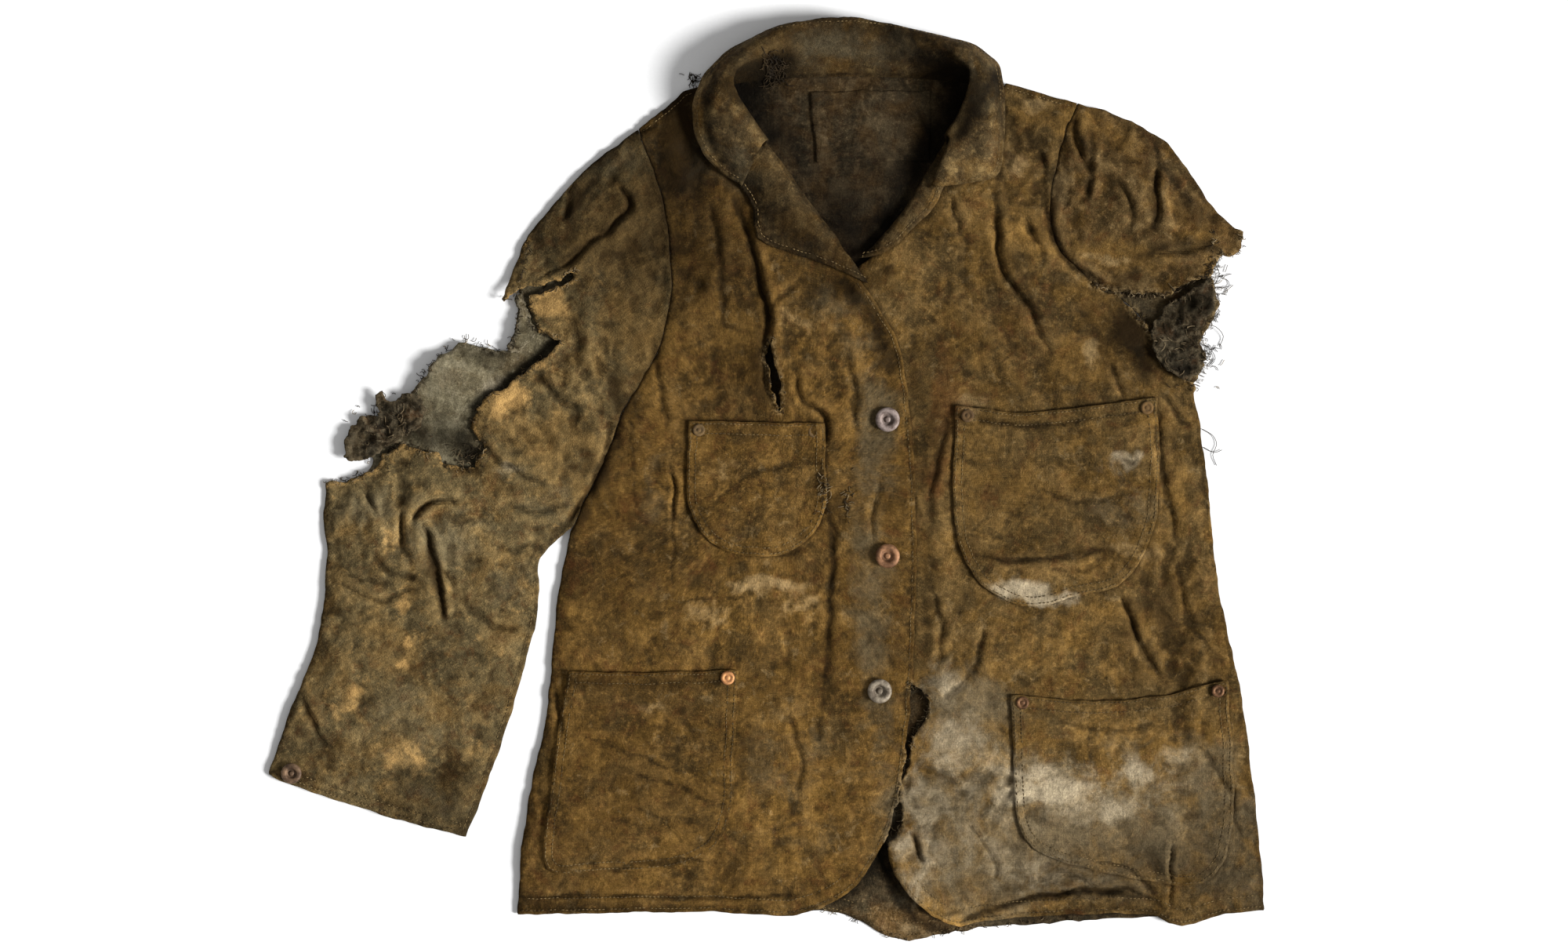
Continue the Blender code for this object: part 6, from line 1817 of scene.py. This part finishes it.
def make_stage():
    scene = bpy.context.scene
    reach = 9.0 / MM
    corners = [(-reach, -reach, 0), (reach, -reach, 0), (reach, reach, 0), (-reach, reach, 0)]
    table = new_object("table_top", corners, [(0, 1, 2, 3)])
    material, n, shader, coordinates = new_material("white_paper")
    grain = n.noise(n.vector("SCALE", coordinates, None, 1 / MM), 0.4, 2.0)
    n.put(n.mix(grain, (0.88, 0.88, 0.88), (0.93, 0.93, 0.93)), shader["Base Color"])
    shader["Roughness"].default_value = 1.0
    shader["Specular IOR Level"].default_value = 0.0
    material_slot(table, material)

    sun = bpy.data.lights.new("key", "SUN")
    sun.energy = 5.9
    sun.angle = math.radians(20)
    lamp = bpy.data.objects.new("key", sun)
    lamp.rotation_euler = (math.radians(13), math.radians(58), 0)
    scene.collection.objects.link(lamp)
    world = bpy.data.worlds.new("soft_room")
    world.use_nodes = True
    background = world.node_tree.nodes["Background"]
    background.inputs["Color"].default_value = (1.0, 1.0, 1.0, 1)
    background.inputs["Strength"].default_value = 0.38
    scene.world = world

    camera = bpy.data.cameras.new("camera")
    camera.lens = 100
    camera.sensor_width = 36
    eye = bpy.data.objects.new("camera", camera)
    eye.location = (0.0135, 0.0033, 3.333)
    scene.collection.objects.link(eye)
    scene.camera = eye
    scene.view_settings.view_transform = "Standard"


class JacketSizes(bpy.types.PropertyGroup):
    spacing: bpy.props.FloatProperty(
        name="Cloth spacing", description="Distance between the points of the cloth that shows",
        default=0.0021, unit="LENGTH",
    )
    hidden_spacing: bpy.props.FloatProperty(
        name="Hidden spacing", description="Distance between the points of cloth that is mostly covered",
        default=0.005, unit="LENGTH",
    )
    crumple: bpy.props.FloatProperty(
        name="Crumple", description="Height of the small folds of the stiff cloth, as a share",
        default=1.0, subtype="FACTOR", min=0, max=2,
    )
    weave_pitch: bpy.props.FloatProperty(
        name="Weave pitch", description="Distance between every second yarn of the duck",
        default=0.0011, unit="LENGTH",
    )
    stitch_length: bpy.props.FloatProperty(
        name="Stitch length", description="Length of one stitch with its gap", default=0.0031, unit="LENGTH",
    )
    thread_width: bpy.props.FloatProperty(
        name="Thread width", description="Thickness of the sewing thread", default=0.0008, unit="LENGTH",
    )


class JacketColours(bpy.types.PropertyGroup):
    duck: bpy.props.FloatVectorProperty(
        name="Duck", description="Main colour of the cloth", default=TONES["middle"], size=3, subtype="COLOR",
    )
    dark_duck: bpy.props.FloatVectorProperty(
        name="Dark duck", description="Cloth where oil and damp darkened it", default=TONES["dark"], size=3,
        subtype="COLOR",
    )
    worn_duck: bpy.props.FloatVectorProperty(
        name="Worn duck", description="Cloth rubbed bare along its folds", default=TONES["light"], size=3,
        subtype="COLOR",
    )
    mud: bpy.props.FloatVectorProperty(
        name="Ochre mud", description="Dried ochre mud", default=TONES["ochre"], size=3, subtype="COLOR",
    )
    grey_mud: bpy.props.FloatVectorProperty(
        name="Grey mud", description="Dried grey clay", default=TONES["grey"], size=3, subtype="COLOR",
    )
    # Soil colour, also used for painted shade in hollows, creases, gaps and along the edges of pieces above.
    soil_and_shade: bpy.props.FloatVectorProperty(
        name="Soil", description="Dark soil in the hollows", default=TONES["soil_and_shade"], size=3, subtype="COLOR",
    )


class MakeBack(bpy.types.Operator):
    """Lays the jacket's back and its neck facing, which show inside the neck and below the hem"""

    bl_idname = "jacket.make_back"
    bl_label = "Back and neck facing"

    def execute(self, context):
        make_back()
        return {"FINISHED"}


class MakeSleeves(bpy.types.Operator):
    """Lays both sleeves' under and upper cloth, with the rip across the right elbow"""

    bl_idname = "jacket.make_sleeves"
    bl_label = "Sleeves"

    def execute(self, context):
        make_sleeves()
        return {"FINISHED"}


class MakeFronts(bpy.types.Operator):
    """Lays the two fronts, the right one over the left"""

    bl_idname = "jacket.make_fronts"
    bl_label = "Fronts"

    def execute(self, context):
        make_fronts()
        return {"FINISHED"}


class MakePockets(bpy.types.Operator):
    """Lays the four patch pockets on the fronts"""

    bl_idname = "jacket.make_pockets"
    bl_label = "Pockets"

    def execute(self, context):
        make_pockets()
        return {"FINISHED"}


class MakeLapels(bpy.types.Operator):
    """Folds the two lapels back on the fronts"""

    bl_idname = "jacket.make_lapels"
    bl_label = "Lapels"

    def execute(self, context):
        make_lapels()
        return {"FINISHED"}


class MakeCollar(bpy.types.Operator):
    """Rolls the collar round the neck"""

    bl_idname = "jacket.make_collar"
    bl_label = "Collar"

    def execute(self, context):
        make_collar()
        return {"FINISHED"}


class MakeScraps(bpy.types.Operator):
    """Crumples the torn scraps at elbow and armhole, and lays the torn strip across the rip"""

    bl_idname = "jacket.make_scraps"
    bl_label = "Torn scraps"

    def execute(self, context):
        make_scraps()
        return {"FINISHED"}


class MakeStitching(bpy.types.Operator):
    """Runs the rows of top-stitching along seams, pockets and hems"""

    bl_idname = "jacket.make_stitching"
    bl_label = "Top-stitching"

    def execute(self, context):
        make_stitching()
        return {"FINISHED"}


class MakeThreads(bpy.types.Operator):
    """Frays the torn edges with loose threads"""

    bl_idname = "jacket.make_threads"
    bl_label = "Loose threads"

    def execute(self, context):
        make_threads()
        return {"FINISHED"}


class MakeButtons(bpy.types.Operator):
    """Turns the metal tack buttons"""

    bl_idname = "jacket.make_buttons"
    bl_label = "Buttons"

    def execute(self, context):
        make_buttons()
        return {"FINISHED"}


class MakeRivets(bpy.types.Operator):
    """Turns the copper rivets at the pockets' corners"""

    bl_idname = "jacket.make_rivets"
    bl_label = "Rivets"

    def execute(self, context):
        make_rivets()
        return {"FINISHED"}


class MakeStage(bpy.types.Operator):
    """Sets the white table, the light from the right and the camera overhead"""

    bl_idname = "jacket.make_stage"
    bl_label = "Table, light and camera"

    def execute(self, context):
        make_stage()
        return {"FINISHED"}


STEPS = (
    MakeBack, MakeSleeves, MakeFronts, MakePockets, MakeLapels, MakeCollar, MakeScraps, MakeStitching,
    MakeThreads, MakeButtons, MakeRivets, MakeStage,
)


class JacketPanel(bpy.types.Panel):
    """Lists the jacket's pieces in the order that they are laid"""

    bl_idname = "JACKET_PT_pieces"
    bl_label = "Worn chore jacket"
    bl_space_type = "VIEW_3D"
    bl_region_type = "UI"
    bl_category = "Jacket"

    def draw(self, context):
        for group in (context.scene.jacket_sizes, context.scene.jacket_colours):
            for name in group.bl_rna.properties.keys():
                if name not in ("rna_type", "name"):
                    self.layout.prop(group, name)
        for step in STEPS:
            self.layout.operator(step.bl_idname)


CLASSES = (JacketSizes, JacketColours, *STEPS, JacketPanel)


def register():
    for cls in CLASSES:
        bpy.utils.register_class(cls)
    bpy.types.Scene.jacket_sizes = bpy.props.PointerProperty(type=JacketSizes)
    bpy.types.Scene.jacket_colours = bpy.props.PointerProperty(type=JacketColours)


def unregister():
    del bpy.types.Scene.jacket_colours
    del bpy.types.Scene.jacket_sizes
    for cls in reversed(CLASSES):
        bpy.utils.unregister_class(cls)


def main():
    register()
    for step in STEPS:
        getattr(bpy.ops.jacket, step.bl_idname.split(".")[1])()


if __name__ == "__main__":
    main()
